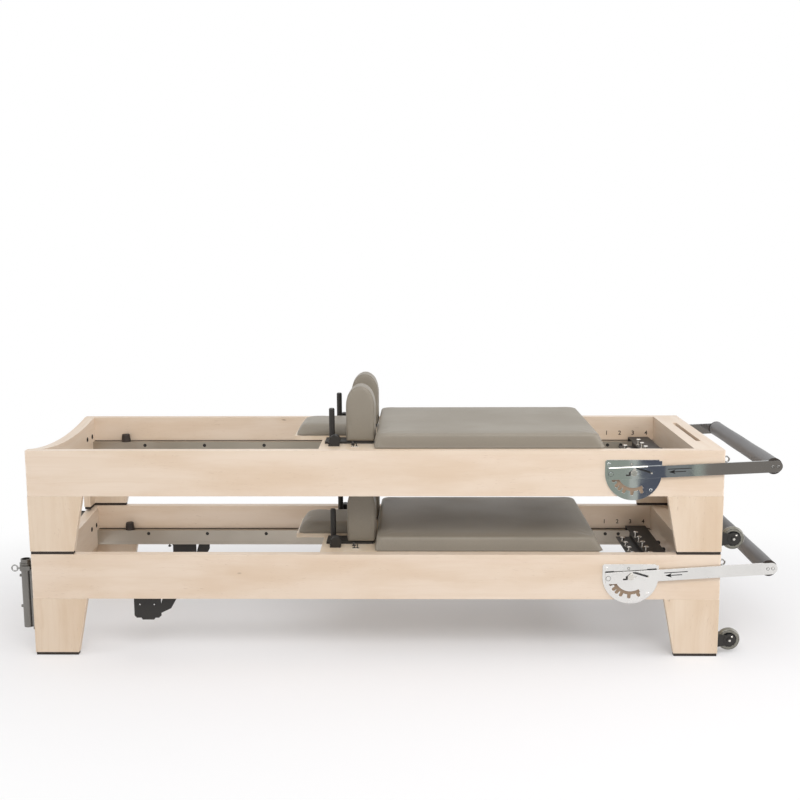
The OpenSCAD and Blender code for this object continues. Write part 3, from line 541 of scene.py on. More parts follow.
def modify(piece: Piece, kind: str, **settings: object) -> None:
    """Adds a modifier and applies it.

    Args:
        piece: The object to change.
        kind: Modifier type, such as BEVEL.
        settings: Properties of the modifier, by name.
    """
    take(piece)
    modifier = piece.modifiers.new(kind.lower(), kind)
    for name, value in settings.items():
        setattr(modifier, name, value)
    bpy.ops.object.modifier_apply(modifier=modifier.name)


def smooth(piece: Piece, degrees: float = 35.0) -> None:
    """Shades a piece smooth but for its sharp edges."""
    take(piece)
    bpy.ops.object.shade_smooth_by_angle(angle=math.radians(degrees))


def tidy(piece: Piece) -> None:
    """Merges doubles and turns all faces outwards."""
    with editing(piece):
        bpy.ops.mesh.remove_doubles(threshold=0.00002)
        bpy.ops.mesh.normals_make_consistent(inside=False)


def mark_edges(piece: Piece, width: float) -> None:
    """Marks the narrow faces that a bevel has made, for the finish to wear.

    Args:
        piece: The bevelled mesh object.
        width: Width of the bevel in metres.
    """
    mesh = piece.data
    layer = mesh.attributes.new(EDGE_LAYER, "FLOAT", "FACE")
    for face in mesh.polygons:
        corners = [mesh.vertices[i].co for i in face.vertices]
        longest = max((a - b).length for a, b in zip(corners, corners[1:] + corners[:1]))
        layer.data[face.index].value = 1.0 if face.area < 1.3 * width * longest else 0.0


def flatten(piece: Piece) -> None:
    """Makes one face of the triangles that lie in one plane."""
    with editing(piece):
        bpy.ops.mesh.dissolve_limited(angle_limit=math.radians(0.3))


def mirrored(profile: Profile, side: int) -> list[tuple[float, float]]:
    """A lathe profile that faces outwards on one side of the bed, -1 or 1."""
    return [(radius, side * offset) for radius, offset in profile]


def turned(profile: Profile, centre: Vector, axis: str = "Y", steps: int = 32) -> Piece:
    """A lathe piece.

    Args:
        profile: Radius and offset along the axis in millimetres. It is closed up, unless
            both its ends lie on the axis.
        centre: Place of the profile's zero offset, in metres.
        axis: X, Y or Z.
        steps: Facets round the axis.

    Returns:
        The turned mesh, smooth but for its sharp edges.
    """
    mesh = bpy.data.meshes.new("turned")
    count = len(profile)
    solid = profile[0][0] == 0.0 and profile[-1][0] == 0.0
    edges = [(i, (i + 1) % count) for i in range(count - 1 if solid else count)]
    order = {"X": (1, 0, 2), "Y": (0, 1, 2), "Z": (0, 2, 1)}[axis]
    points = [tuple((r / 1000, y / 1000, 0.0)[i] for i in order) for r, y in profile]
    mesh.from_pydata(points, edges, [])
    piece = linked("turned", mesh)
    modify(piece, "SCREW", axis=axis, angle=2 * math.pi, steps=steps, render_steps=steps,
           use_merge_vertices=True, merge_threshold=0.00001)
    piece.location = centre
    settle(piece)
    tidy(piece)
    smooth(piece, 32.0)
    return piece


def slab(outline: Sequence[Vector], thickness: float, edge: float = 0.0) -> Piece:
    """A flat piece of a closed outline.

    Args:
        outline: Its corners in metres.
        thickness: Its thickness in metres, half of it on each side of the outline.
        edge: Width of its broken edges, or 0 for none.

    Returns:
        The mesh object.
    """
    mesh = bpy.data.meshes.new("slab")
    mesh.from_pydata(outline, [], [tuple(range(len(outline)))])
    piece = linked("slab", mesh)
    modify(piece, "SOLIDIFY", thickness=thickness, offset=0.0)
    if edge:
        modify(piece, "BEVEL", width=edge, segments=2, limit_method="ANGLE")
    tidy(piece)
    return piece


def fuse(pieces: Sequence[Piece]) -> Piece:
    """Joins several meshes into the first one."""
    deselect()
    for piece in pieces:
        piece.select_set(True)
    bpy.context.view_layer.objects.active = pieces[0]
    bpy.ops.object.join()
    return pieces[0]


def twin(piece: Piece, name: str, move: Vector) -> Piece:
    """A copy of a finished piece with its own mesh, moved in its mesh.

    Args:
        piece: The piece to copy.
        name: The copy's name.
        move: How far the copy lies from the piece.

    Returns:
        The copy.
    """
    take(piece)
    bpy.ops.object.duplicate()
    copy = bpy.context.active_object
    copy.name = name
    copy.data.name = name
    copy.parent = None
    for key in [k for k in copy.keys() if k.startswith("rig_")]:
        del copy[key]
    copy.matrix_world = Matrix.Translation(move)
    settle(copy)
    return copy


def finish_piece(piece: Piece, name: str, finish: Finish, body: str,
                 nodes: Sequence[str] = ()) -> Piece:
    """Names, paints and places a piece on its body, and reports it.

    Args:
        piece: The finished mesh object.
        name: Its name.
        finish: Its surface.
        body: The body that it rides on.
        nodes: CAD nodes that it stands for.

    Returns:
        The piece.
    """
    piece.name = name
    piece.data.name = name
    piece.data.materials.clear()
    piece.data.materials.append(finish.material())
    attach(piece, body)
    if nodes:
        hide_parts(*nodes)
    log.info("%s on %s, %d faces", name, body, len(piece.data.polygons))
    return piece


def finish_in(unit: Unit, piece: Piece, name: str, finish: Finish, body: str,
              nodes: Sequence[str] = ()) -> Piece:
    """Finishes a piece of one unit, whose prefix its name, body and nodes get."""
    return finish_piece(piece, unit.prefix + name, finish, unit.prefix + body,
                        [unit.prefix + node for node in nodes])


def for_both(piece: Piece) -> tuple[tuple[Unit, Piece], ...]:
    """A piece made in the lower unit and its copy in the upper one, each with its unit."""
    above = twin(piece, "upper", Vector((0.0, 0.0, Unit.UPPER.value)))
    return (Unit.LOWER, piece), (Unit.UPPER, above)


@dataclass
class Machined:
    """A rigid CAD node with broken edges and its finish.

    Args:
        node: The CAD node.
        finish: Its surface.
        edge: Width of the broken edges in metres, or 0 for none.
        segments: Facets across a broken edge.
    """

    node: str
    finish: Finish
    edge: float = 0.0
    segments: int = 2

    def build(self) -> Piece:
        """Copies the node, merges it, breaks its edges and lets it stand for the node.

        Returns:
            The finished piece.
        """
        source = frame["nodes"][self.node]
        body = source["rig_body"]
        source.name = self.node
        piece = twin(source, self.node + "_shape", Vector())
        tidy(piece)
        if self.edge:
            flatten(piece)
            modify(piece, "BEVEL", width=self.edge, segments=self.segments, limit_method="ANGLE",
                   angle_limit=math.radians(40), use_clamp_overlap=True, profile=0.5)
            mark_edges(piece, self.edge)
        smooth(piece)
        modify(piece, "WEIGHTED_NORMAL", weight=100, keep_sharp=True)
        return finish_piece(piece, self.node + "_shape", self.finish, body, (self.node,))


# ---- upholstery ----


CLOTH = {
    "quality": 4,
    "mass": 0.4,
    "tension_stiffness": 22.0,
    "compression_stiffness": 22.0,
    "shear_stiffness": 12.0,
    "bending_stiffness": 4.0,
    "use_pressure": True,
    "uniform_pressure_force": 4.0,
}
CLOTH_FRAMES = 20  # length of the simulation
BASE_HEIGHT = 0.006  # how much of a cushion's foot is held while it swells


@dataclass
class CushionForm:
    """Shape of a cushion before it swells, in millimetres.

    Args:
        low: Lowest corner.
        high: Highest corner.
        corners: Radius of the corners seen from above, at the bottom and at the top.
        edge: Radius of the top edge.
        slopes: How far the top stays inside the bottom at -X, +X and at both sides.
        cap: Most that the skin may move outwards.
    """

    low: Triple
    high: Triple
    corners: tuple[float, float]
    edge: float
    slopes: Triple
    cap: float = 4.0


@dataclass
class Cushion:
    """An upholstered piece that is blown up like a stuffed cover.

    Args:
        name: The piece's name.
        form: Its shape before it swells.
        voxel: Size of the cover's grid in metres.
    """

    name: str
    form: CushionForm
    voxel: float = 0.006

    def ring(self, level: int) -> list[Vector]:
        """Rounded rectangle of the cover's bottom or top.

        Args:
            level: 0 for the bottom and 1 for the top.

        Returns:
            Its points in metres, the same number on both levels.
        """
        f = self.form
        head, foot, side = (value * level for value in f.slopes)
        x0, x1 = f.low[0] + head, f.high[0] - foot
        y0, y1 = f.low[1] + side, f.high[1] - side
        radius, height = f.corners[level], (f.low[2], f.high[2])[level]
        points = []
        for number, (x, y) in enumerate(((x1, y1), (x0, y1), (x0, y0), (x1, y0))):
            middle_x = x + (radius if x == x0 else -radius)
            middle_y = y + (radius if y == y0 else -radius)
            for step in range(9):
                turn = math.radians(90 * number + 90 * step / 8)
                points.append(at(middle_x + radius * math.cos(turn),
                                 middle_y + radius * math.sin(turn), height))
        return points

    def block(self) -> Piece:
        """The cushion's cover before it swells."""
        rings = [self.ring(0), self.ring(1)]
        count = len(rings[0])
        mesh = bpy.data.meshes.new(self.name)
        walls = [(i, (i + 1) % count, (i + 1) % count + count, i + count) for i in range(count)]
        mesh.from_pydata(rings[0] + rings[1], [],
                         [*walls, tuple(range(count - 1, -1, -1)), tuple(range(count, 2 * count))])
        piece = linked(self.name, mesh)
        top = self.form.high[2] / 1000 - 1e-4
        self.bevel_where(piece, self.form.edge / 1000, 4, lambda a, b: a.z > top and b.z > top)
        return piece

    @staticmethod
    def bevel_where(piece: Piece, width: float, segments: int,
                    wanted: Callable[[Vector, Vector], bool]) -> None:
        """Bevels the sharp edges whose two ends pass a test.

        Args:
            piece: The mesh object.
            width: Width of the bevel in metres.
            segments: Facets across it.
            wanted: Test on the edge's two ends.
        """
        take(piece)
        bpy.ops.object.mode_set(mode="EDIT")
        bpy.ops.mesh.select_mode(type="EDGE")
        bpy.ops.mesh.select_all(action="DESELECT")
        bpy.ops.object.mode_set(mode="OBJECT")
        points = piece.data.vertices
        for edge in piece.data.edges:
            a, b = (points[i].co for i in edge.vertices)
            edge.select = wanted(a, b)
        bpy.ops.object.mode_set(mode="EDIT")
        bpy.ops.mesh.bevel(offset=width, segments=segments, affect="EDGES", profile=0.5)
        bpy.ops.object.mode_set(mode="OBJECT")

    def swell(self, piece: Piece) -> None:
        """Remeshes the cover, blows it up with its base held, and caps the movement."""
        modify(piece, "REMESH", mode="VOXEL", voxel_size=self.voxel)
        points = piece.data.vertices
        start = [v.co.copy() for v in points]
        base = min(v.z for v in start) + BASE_HEIGHT
        held = piece.vertex_groups.new(name="base")
        held.add([i for i, v in enumerate(start) if v.z < base], 1.0, "REPLACE")
        take(piece)
        cloth = piece.modifiers.new("Cloth", "CLOTH")
        for name, value in CLOTH.items():
            setattr(cloth.settings, name, value)
        cloth.settings.vertex_group_mass = held.name
        cloth.settings.effector_weights.gravity = 0.0
        cloth.point_cache.frame_start = 1
        cloth.point_cache.frame_end = CLOTH_FRAMES
        scene = bpy.context.scene
        for number in range(1, CLOTH_FRAMES + 1):
            scene.frame_set(number)
        bpy.ops.object.modifier_apply(modifier=cloth.name)
        scene.frame_set(1)
        cap = self.form.cap / 1000
        for vertex, before in zip(piece.data.vertices, start):
            move = vertex.co - before
            if move.length > cap:
                vertex.co = before + move * (cap / move.length)
        piece.vertex_groups.clear()

    def build(self) -> Piece:
        """The swollen, smooth cushion.

        Returns:
            A mesh object at its place in the lower unit.
        """
        piece = self.block()
        self.swell(piece)
        modify(piece, "SMOOTH", factor=0.5, iterations=2)
        modify(piece, "SUBSURF", levels=1, render_levels=1)
        smooth(piece, 180.0)
        return piece


@dataclass
class ShoulderRest(Cushion):
    """An upright slab with a round head and piped edges round both faces, in millimetres.

    Args:
        half: Half of its length along the bed.
        height: Its height.
        middle: Middle of its foot.
        width: Its width across the bed.
        piping_m: Radius of the piping in metres.
    """

    half: float = 51.0
    height: float = 198.5
    middle: Triple = (-50.0, 165.0, 368.4)
    width: float = 88.0
    piping_m: float = 0.0011

    def outline(self, inset: float) -> list[tuple[float, float]]:
        """Points of the slab's side view, X and Z in millimetres.

        Args:
            inset: How far the outline lies inside the slab's own.

        Returns:
            Points from the bottom left, the long way round over the head.
        """
        half, top = self.half - inset, self.height - inset
        rise = self.height * 0.66
        points = [(-half, inset + 3.0), (-half, rise * 0.6)]
        points += [(-half * math.cos(math.pi * k / 14), rise + (top - rise) * math.sin(math.pi * k / 14))
                   for k in range(15)]
        return points + [(half, rise * 0.6), (half, inset + 3.0), (half - 3.0, inset),
                         (-half + 3.0, inset)]

    def block(self) -> Piece:
        """The slab before it swells: an extruded outline with rolled edges."""
        x, y, z = self.middle
        bpy.ops.mesh.primitive_circle_add(vertices=len(self.outline(0.0)), radius=0.01,
                                          fill_type="NGON")
        piece = bpy.context.active_object
        side = y - self.width / 2 + 1.0
        for vertex, (px, pz) in zip(piece.data.vertices, self.outline(1.0)):
            vertex.co = at(x + px, side, z + pz) - piece.location
        with editing(piece):
            bpy.ops.mesh.extrude_region_move(
                TRANSFORM_OT_translate={"value": (0.0, (self.width - 2.0) / 1000, 0.0)})
            bpy.ops.mesh.select_all(action="SELECT")
            bpy.ops.mesh.normals_make_consistent(inside=False)
        ends = (side / 1000, (side + self.width - 2.0) / 1000)
        self.bevel_where(piece, 0.003, 2, lambda a, b: any(
            abs(a.y - e) < 1e-5 and abs(b.y - e) < 1e-5 for e in ends))
        return piece

    def piping(self, cushion: Piece) -> Piece:
        """Thin piping sewn along the edges of both faces.

        Args:
            cushion: The swollen slab, on whose edges the piping lies.

        Returns:
            The two cords as one mesh.
        """
        x, y, z = self.middle
        cords = []
        for side in SIDES:
            shape = bpy.data.curves.new("piping", "CURVE")
            shape.dimensions = "3D"
            shape.bevel_depth = self.piping_m
            shape.bevel_resolution = 2
            line = shape.splines.new("POLY")
            points = self.outline(0.0)[:-2]
            line.points.add(len(points) - 1)
            for point, (px, pz) in zip(line.points, points):
                corner = at(x + px, y + side * self.width / 2, z + pz)
                _, place, away, _ = cushion.closest_point_on_mesh(corner)
                point.co = (*(place + away * 0.0004), 1.0)
            shape.use_fill_caps = True
            take(linked("piping", shape))
            bpy.ops.object.convert(target="MESH")
            cords.append(bpy.context.active_object)
        both = fuse(cords)
        smooth(both, 180.0)
        return both

    def build(self) -> Piece:
        """The slab with its piping.

        Returns:
            A mesh object at the far rest's place in the lower unit.
        """
        cushion = super().build()
        return fuse([cushion, self.piping(cushion)])


@dataclass
class Cushions:
    """All cushions of both units: each kind is made once and copied."""

    pad: CushionForm = field(default_factory=lambda: CushionForm(
        (-3.0, -300.5, 360.4), (798.0, 300.5, 412.5), (13.0, 30.0), 6.0, (10.0, 24.0, 9.0), 2.0))
    head: CushionForm = field(default_factory=lambda: CushionForm(
        (-290.5, -110.5, 370.7), (-62.0, 110.5, 409.5), (27.0, 40.0), 6.5, (22.0, 4.0, 9.0), 2.2))

    def spread(self, piece: Piece, kind: str, body: str) -> None:
        """Places a cushion in the lower unit and a copy in the upper one.

        Args:
            piece: The cushion at its place in the lower unit.
            kind: Node name without the unit.
            body: Body name without the unit.
        """
        for unit, cushion in for_both(piece):
            made = finish_in(unit, cushion, kind + "_cushion", VINYL, body, (kind,))

    def build(self) -> None:
        """Makes the pads, headrests and shoulder rests."""
        self.spread(Cushion("pad", self.pad, voxel=0.0068).build(), "carriage_pad", "carriage")
        self.spread(Cushion("head", self.head).build(), "headrest_pad", "headrest")
        blank = (0.0, 0.0, 0.0)  # a shoulder rest has its own outline
        rest_form = CushionForm(blank, blank, (0.0, 0.0), 0.0, blank, cap=1.6)
        far = ShoulderRest("rest", rest_form, voxel=0.004).build()
        near = twin(far, "near", Vector())
        near.scale.y = -1.0
        settle(near)
        tidy(near)
        self.spread(far, "far_shoulder_rest", "far_shoulder_rest")
        self.spread(near, "near_shoulder_rest", "near_shoulder_rest")


# ---- coiled springs ----


@dataclass
class Springs:
    """Coiled tension springs parked under the carriage.

    Args:
        coil_mm: Start and end of the coils along X.
        height_mm: Height of the springs' axes.
        wire_mm: Thickness of the wire.
        outer_mm: Radius over the coils.
        pitch_mm: Distance between turns.
        spacing_mm: Distance between springs.
    """

    coil_mm: tuple[float, float] = (178.0, 678.0)
    height_mm: float = 310.0
    wire_mm: float = 2.6
    outer_mm: float = 12.0
    pitch_mm: float = 3.1
    spacing_mm: float = 66.0

    def coil(self) -> Piece:
        """One coil with straight, flanged ends, along X at the middle of the bed."""
        start, end = self.coil_mm
        radius = (self.outer_mm - self.wire_mm / 2) / 1000
        bpy.ops.mesh.primitive_circle_add(vertices=5, radius=self.wire_mm / 2000,
                                          location=(0.0, radius, 0.0),
                                          rotation=(math.pi / 2, 0.0, math.pi / 2))
        wire = bpy.context.active_object
        settle(wire)
        turns = int((end - start) / self.pitch_mm)
        modify(wire, "SCREW", axis="X", angle=2 * math.pi, screw_offset=self.pitch_mm / 1000,
               iterations=turns, steps=12, render_steps=12, use_merge_vertices=True)
        wire.location = at(start + 1.0, 0.0, self.height_mm)
        settle(wire)
        parts = [wire]
        for x0, x1, r in ((140, 148, 5.0), (143, 182, 2.0), (676, 716, 2.0), (712, 718, 5.0),
                          (176, 184, 9.0), (672, 680, 9.0)):
            bpy.ops.mesh.primitive_cylinder_add(vertices=14, radius=r / 1000, depth=(x1 - x0) / 1000,
                                                location=at((x0 + x1) / 2, 0.0, self.height_mm),
                                                rotation=(0.0, math.pi / 2, 0.0))
            rod = bpy.context.active_object
            settle(rod)
            modify(rod, "BEVEL", width=0.0008, segments=2, limit_method="ANGLE")
            parts.append(rod)
        spring = fuse(parts)
        smooth(spring, 50.0)
        return spring

    def build(self) -> None:
        """Five springs in each unit."""
        first = self.coil()
        others = [twin(first, f"spring_{k}", Vector((0.0, k * self.spacing_mm / 1000, 0.0)))
                  for k in (-2, -1, 1, 2)]
        for unit, piece in for_both(fuse([first, *others])):
            finish_in(unit, piece, "coiled_springs", BRIGHT, "carriage", ("springs",))


# ---- footbars ----


@dataclass
class Footbar:
    """Grip, catch and marks of one unit's footbar.

    Args:
        unit: The unit.
        tilt: Rise of the arms at rest in degrees.
        pivot_mm: X and Z of the pivots in the lower unit.
        reach_mm: Distance from the pivots to the grip's axis.
        grip_mm: Radius and length of the sleeve.
    """

    # Outlines along and above an arm's middle line, in millimetres.
    CATCH = ((-17, 4), (-11, 4), (-11, -9), (-27, -9), (-27, -4), (-17, -4))
    # Dark strips of painted shadow along the lower arms' top edges, where each arm meets its quadrant plate.
    STRIPS = ((-85, 90, 21.6), (-85, -56, 23.4), (58, 90, 23.4))  # start, end and top
    STRIP_FOOT = 20.6
    LIP = ((-83, 362.8, 19.4), (47, 362.8, 19.4), (47, 361.4, 21.7), (-83, 361.4, 21.7))
    MARKS = (
        ((120, -3.6), (120, -0.4), (175, -0.4), (175, -3.6)),
        ((118, -2.0), (140, 6.0), (135, -2.0), (140, -10.0)),
        ((114, 6.4), (114, 9.4), (194, 9.4), (194, 6.4)),
        # Painted shade: a dark patch over the arm's slot, standing in for the shade in its recess.
        ((7.0, 14.2), (8.4, 18.4), (61.0, -1.4), (59.6, -5.6)),
        ((-14.5, 3.6), (5.0, 19.4), (6.0, 18.2), (-13.5, 2.4)),
    )
    # Place along and above the middle line, and radius.
    RINGS = ((0.0, 0.0, 8.0), (-77.0, 0.0, 7.6), (467.0, 0.0, 4.7), (484.0, 0.0, 4.7))
    SCREWS = ((3.0, 12.5, 4.2), (60.0, -3.5, 3.0), (467.0, 0.0, 4.2), (484.0, 0.0, 4.2))
    # Radius, and first, last and step of the angles, of the slot's inner and outer edge.
    SLOT = ((51.0, range(176, 303, 9)), (84.0, range(302, 175, -9)))
    SLOT_FACE = 352.5
    ARM_MIDDLE = 357.0

    unit: Unit
    tilt: float
    pivot_mm: tuple[float, float] = (881.0, 289.0)
    reach_mm: float = 472.0
    grip_mm: tuple[float, float] = (27.8, 706.0)

    def on_arm(self, along: float, y: float, up: float) -> Vector:
        """Place of a point along and above the arm's middle line, in millimetres."""
        a = math.radians(self.tilt)
        x, z = self.pivot_mm
        return at(x + along * math.cos(a) - up * math.sin(a), y,
                  z + self.unit.rise_mm + along * math.sin(a) + up * math.cos(a))

    def on_plate(self, y: float, forward: float, up: float) -> Vector:
        """Place of a point ahead of and above the pivot, which stays with the frame."""
        x, z = self.pivot_mm
        return at(x + forward, y, z + self.unit.rise_mm + up)

    def grip(self) -> None:
        """Foam sleeve with rolled ends and a slight swell."""
        radius, length = self.grip_mm
        axis = self.on_arm(self.reach_mm, 0.0, 0.0)
        bpy.ops.mesh.primitive_cylinder_add(vertices=48, radius=radius / 1000, depth=length / 1000,
                                            location=axis, rotation=(math.pi / 2, 0.0, 0.0))
        sleeve = bpy.context.active_object
        settle(sleeve)
        Cushion.bevel_where(sleeve, 0.004, 4, lambda a, b: abs(a.y - b.y) < 1e-6)
        with editing(sleeve):
            for k in range(-11, 12):
                bpy.ops.mesh.bisect(plane_co=(0.0, k * 0.03, 0.0), plane_no=(0.0, 1.0, 0.0))
                bpy.ops.mesh.select_all(action="SELECT")
        for vertex in sleeve.data.vertices:
            out = Vector((vertex.co.x - axis.x, 0.0, vertex.co.z - axis.z))
            squeeze = 0.0004 * math.sin(vertex.co.y * 21.0) - 0.0004
            vertex.co += out.normalized() * min(squeeze, 0.0) if out.length > 0.004 else Vector()
        smooth(sleeve, 40.0)
        grip = finish_in(self.unit, sleeve, "foam_grip", FOAM, "footbar", ("footbar_grip",))

    def end_caps(self) -> None:
        """Rubber rings between the sleeve and the arms."""
        radius = self.grip_mm[0] + 0.2
        profile = ((12.7, 353.2), (radius - 0.6, 353.2), (radius, 353.8), (radius, 355.6),
                   (radius - 0.6, 356.2), (12.7, 356.2))
        rings = [turned(mirrored(profile, side), self.on_arm(self.reach_mm, 0.0, 0.0), steps=48)
                 for side in SIDES]
        finish_in(self.unit, fuse(rings), "grip_end_caps", BLACK_RUBBER, "footbar")

    def arm_slab(self, outline: Profile, y: float, thickness: float, edge: float = 0.0) -> Piece:
        """A flat piece on an arm, from an outline along and above its middle line."""
        return slab([self.on_arm(along, y, up) for along, up in outline], thickness, edge)

    def catch(self) -> None:
        """Black catch and screw rings, plated screws, a lip on each upper arm's top edge, and dark strips of
        painted contact shadow along each lower arm's top edge.
        """
        catches, screws, lips = [], [], []
        for side in SIDES:
            face = side * ARM_FACE_MM
            catches.append(self.arm_slab(self.CATCH, face + side * 0.7, 0.0014, 0.0003))
            for along, up, r in self.RINGS:
                profile = ((r, 0.35), (r + 0.5, 0.6), (r + 1.1, 0.35), (r + 1.1, -0.2), (r, -0.2))
                catches.append(turned(mirrored(profile, side), self.on_arm(along, face, up), steps=28))
            for along, up, r in self.SCREWS:
                profile = ((0.0, 0.9), (r * 0.4, 0.9), (r * 0.45, 1.4), (r * 0.85, 1.4), (r, 0.9),
                           (r, -0.3), (0.0, -0.3))
                screws.append(turned(mirrored(profile, side), self.on_arm(along, face, up)))
            if self.unit is Unit.UPPER:
                lips.append(slab([self.on_arm(a, side * y, u) for a, y, u in self.LIP], 0.0006))
            else:
                # Painted shadow: dark strips along the arm's top edge stand in for its contact shadow against
                # the quadrant plate.
                foot = self.STRIP_FOOT
                for start, end, top in self.STRIPS:
                    strip = ((start, foot), (start, top), (end, top), (end, foot))
                    catches.append(self.arm_slab(strip, side * self.ARM_MIDDLE, 0.0008))
        # In the lower unit this object also holds the strips of painted shadow.
        finish_in(self.unit, fuse(catches), "catches", POWDER, "footbar")
        finish_in(self.unit, fuse(screws), "arm_screws", BRIGHT, "footbar")
        if lips:
            finish_in(self.unit, fuse(lips), "arm_lips", BRIGHT, "footbar")

    def slot_liners(self) -> None:
        """Sheets of painted shade, the colour of shaded wood, behind the toothed slot of each quadrant plate,
        and a ringed screw on the plate.
        """
        slot_shade_sheets, screws, rings = [], [], []
        arc = [(radius, math.radians(angle)) for radius, span in self.SLOT for angle in span]
        screw = ((0.0, 0.45), (2.6, 0.45), (3.4, 0.2), (3.4, -0.4), (0.0, -0.4))
        ring = ((3.6, 0.3), (4.8, 0.3), (4.8, -0.4), (3.6, -0.4))
        for side in SIDES:
            slot_shade_sheets.append(slab([self.on_plate(side * self.SLOT_FACE, r * math.cos(t), r * math.sin(t))
                                for r, t in arc], 0.0006))
            middle = self.on_plate(side * PLATE_FACE_MM, -7.0, 29.0)
            screws.append(turned(mirrored(screw, side), middle, steps=24))
            rings.append(turned(mirrored(ring, side), middle, steps=24))
        # The first row holds the sheets of painted slot shade.
        for pieces, name, finish, slot in (
                (slot_shade_sheets, "slot_liners", SLOT_SHADE_PAINT, "maple"), (screws, "plate_screws", BRIGHT, "chrome"),
                (rings, "plate_screw_rings", POWDER, "black_steel")):
            finish_in(self.unit, fuse(pieces), name, finish, "frame")

    def marks(self) -> None:
        """Arrow, line and catch rod on the outer faces of both arms, and a dark patch of painted shade over
        each arm's slot.
        """
        shapes = [self.arm_slab(outline, side * (ARM_FACE_MM + 0.12), 0.0002)
                  for side in SIDES for outline in self.MARKS]
        finish_in(self.unit, fuse(shapes), "arrow_marks", INK, "footbar")

    def build(self) -> None:
        """Sleeve with its end caps, catches with painted edge shadow, painted slot shade, and marks with a
        patch of painted shade.
        """
        self.grip()
        self.end_caps()
        self.catch()
        self.slot_liners()
        self.marks()


# ---- small dressed pieces ----


@dataclass
class PositionNumbers:
    """Burnt-in numbers 1 to 4 at the positions of the spring bar, on both side boards."""

    unit: Unit
    first_mm: float = 906.5
    pitch_mm: float = 52.3
    height_mm: float = 300.5
    size: float = 0.0235

    def build(self) -> None:
        """Text made into thin meshes and joined."""
        shapes = []
        for side, turn in ((1, 0.0), (-1, math.pi)):
            for k in range(4):
                place = at(self.first_mm + k * self.pitch_mm, 0.0, self.height_mm - 8.5)
                place.z += self.unit.value
                place.y = side * (INNER_Y - 0.00015)
                bpy.ops.object.text_add(location=place, rotation=(math.pi / 2, 0.0, turn))
                text = bpy.context.active_object
                text.data.body = str(k + 1)
                text.data.size = self.size
                text.data.align_x = "CENTER"
                text.data.extrude = 0.00012
                text.data.offset = 0.0004
                take(text)
                bpy.ops.object.convert(target="MESH")
                number = bpy.context.active_object
                settle(number)
                shapes.append(number)
        finish_in(self.unit, fuse(shapes), "position_numbers", ENGRAVED, "frame")


@dataclass
class Plugs:
    """Black plugs in the rail holes, whose black is partly painted shade, dark strips of painted shadow on
    the rails, rope sleeves in the head board and catches on the deck.
    """

    unit: Unit
    rail_holes_mm: tuple[float, ...] = (*(-943.0 + 239.5 * k for k in range(8)),
                                        *(906.5 + 52.3 * k for k in range(4)))
    rail_y_mm: float = 292.0
    hole_z_mm: float = 256.0
    sleeve_mm: Triple = (-1152.0, 0.0, 293.0)
    sleeve_rows_mm: tuple[float, ...] = (222.0, 285.0)

    def rail_plugs(self) -> None:
        """One black plug in each hole of both rails, sunk a little below the face. Its black is partly
        painted shade, standing in for the deep shade inside the holes.
        """
        profile = ((0.0, 2.6), (2.6, 2.6), (2.9, -0.2), (3.2, -0.4), (6.4, -0.4), (6.8, -0.1),
                   (6.8, 0.0), (5.35, 0.0), (5.35, 3.4), (0.0, 3.4))
        z = self.hole_z_mm + self.unit.rise_mm
        plugs = [turned(mirrored(profile, side), at(x, side * self.rail_y_mm, z), steps=20)
                 for side in SIDES for x in self.rail_holes_mm]
        finish_in(self.unit, fuse(plugs), "rail_plugs", POWDER, "frame")

    def rope_sleeves(self) -> None:
        """Flanged sleeves in the head board's holes."""
        profile = ((0.0, -11.0), (5.2, -11.0), (5.2, 0.4), (5.9, 1.1), (8.9, 1.1), (9.6, 0.4), (9.6, 0.05),
                   (7.85, 0.05), (7.85, -16.0), (0.0, -16.0))
        x, _, z = self.sleeve_mm
        sleeves = [turned(profile, at(x, side * y, z + self.unit.rise_mm), "X")
                   for side in SIDES for y in self.sleeve_rows_mm]
        finish_in(self.unit, fuse(sleeves), "rope_sleeves", BLACK_RUBBER, "frame")

    def rail_strips(self) -> None:
        """Dark strip of painted shadow in the corner between each rail's top and its side board."""
        x0, x1, y0, y1, z = -1151.0, 1091.0, 314.0, 320.8, 270.75 + self.unit.rise_mm
        corners = ((x0, y0), (x1, y0), (x1, y1), (x0, y1))
        strips = [slab([at(x, side * y, z) for x, y in corners], 0.0014, 0.0003) for side in SIDES]
        finish_in(self.unit, fuse(strips), "rail_strips", BLACK_RUBBER, "frame")

    def deck_catches(self) -> None:
        """Small catch beside each shoulder rest: a plated plate and two black pins."""
        shapes, pins = [], []
        z = 360.0 + self.unit.rise_mm
        corners = ((-80, 252), (-55, 252), (-55, 265), (-80, 265))
        pin = ((0.0, 13.0), (2.2, 12.8), (3.2, 11.4), (3.0, 9.6), (1.7, 8.8), (1.7, 2.4), (3.0, 1.6),
               (3.0, 0.4), (0.0, 0.4))
        for side in SIDES:
            shapes.append(slab([at(x, side * y, z + 1.15) for x, y in corners], 0.0016, 0.0004))
            pins += [turned(pin, at(x, side * 258.5, z + 1.4), "Z", 20) for x in (-73.0, -62.0)]
        finish_in(self.unit, fuse(shapes), "deck_catches", BRIGHT, "carriage")
        finish_in(self.unit, fuse(pins), "deck_pins", POWDER, "carriage")

    def build(self) -> None:
        """Plugs with painted hole shade, strips of painted shadow, sleeves and catches."""
        self.rail_plugs()
        self.rail_strips()
        self.rope_sleeves()
        self.deck_catches()


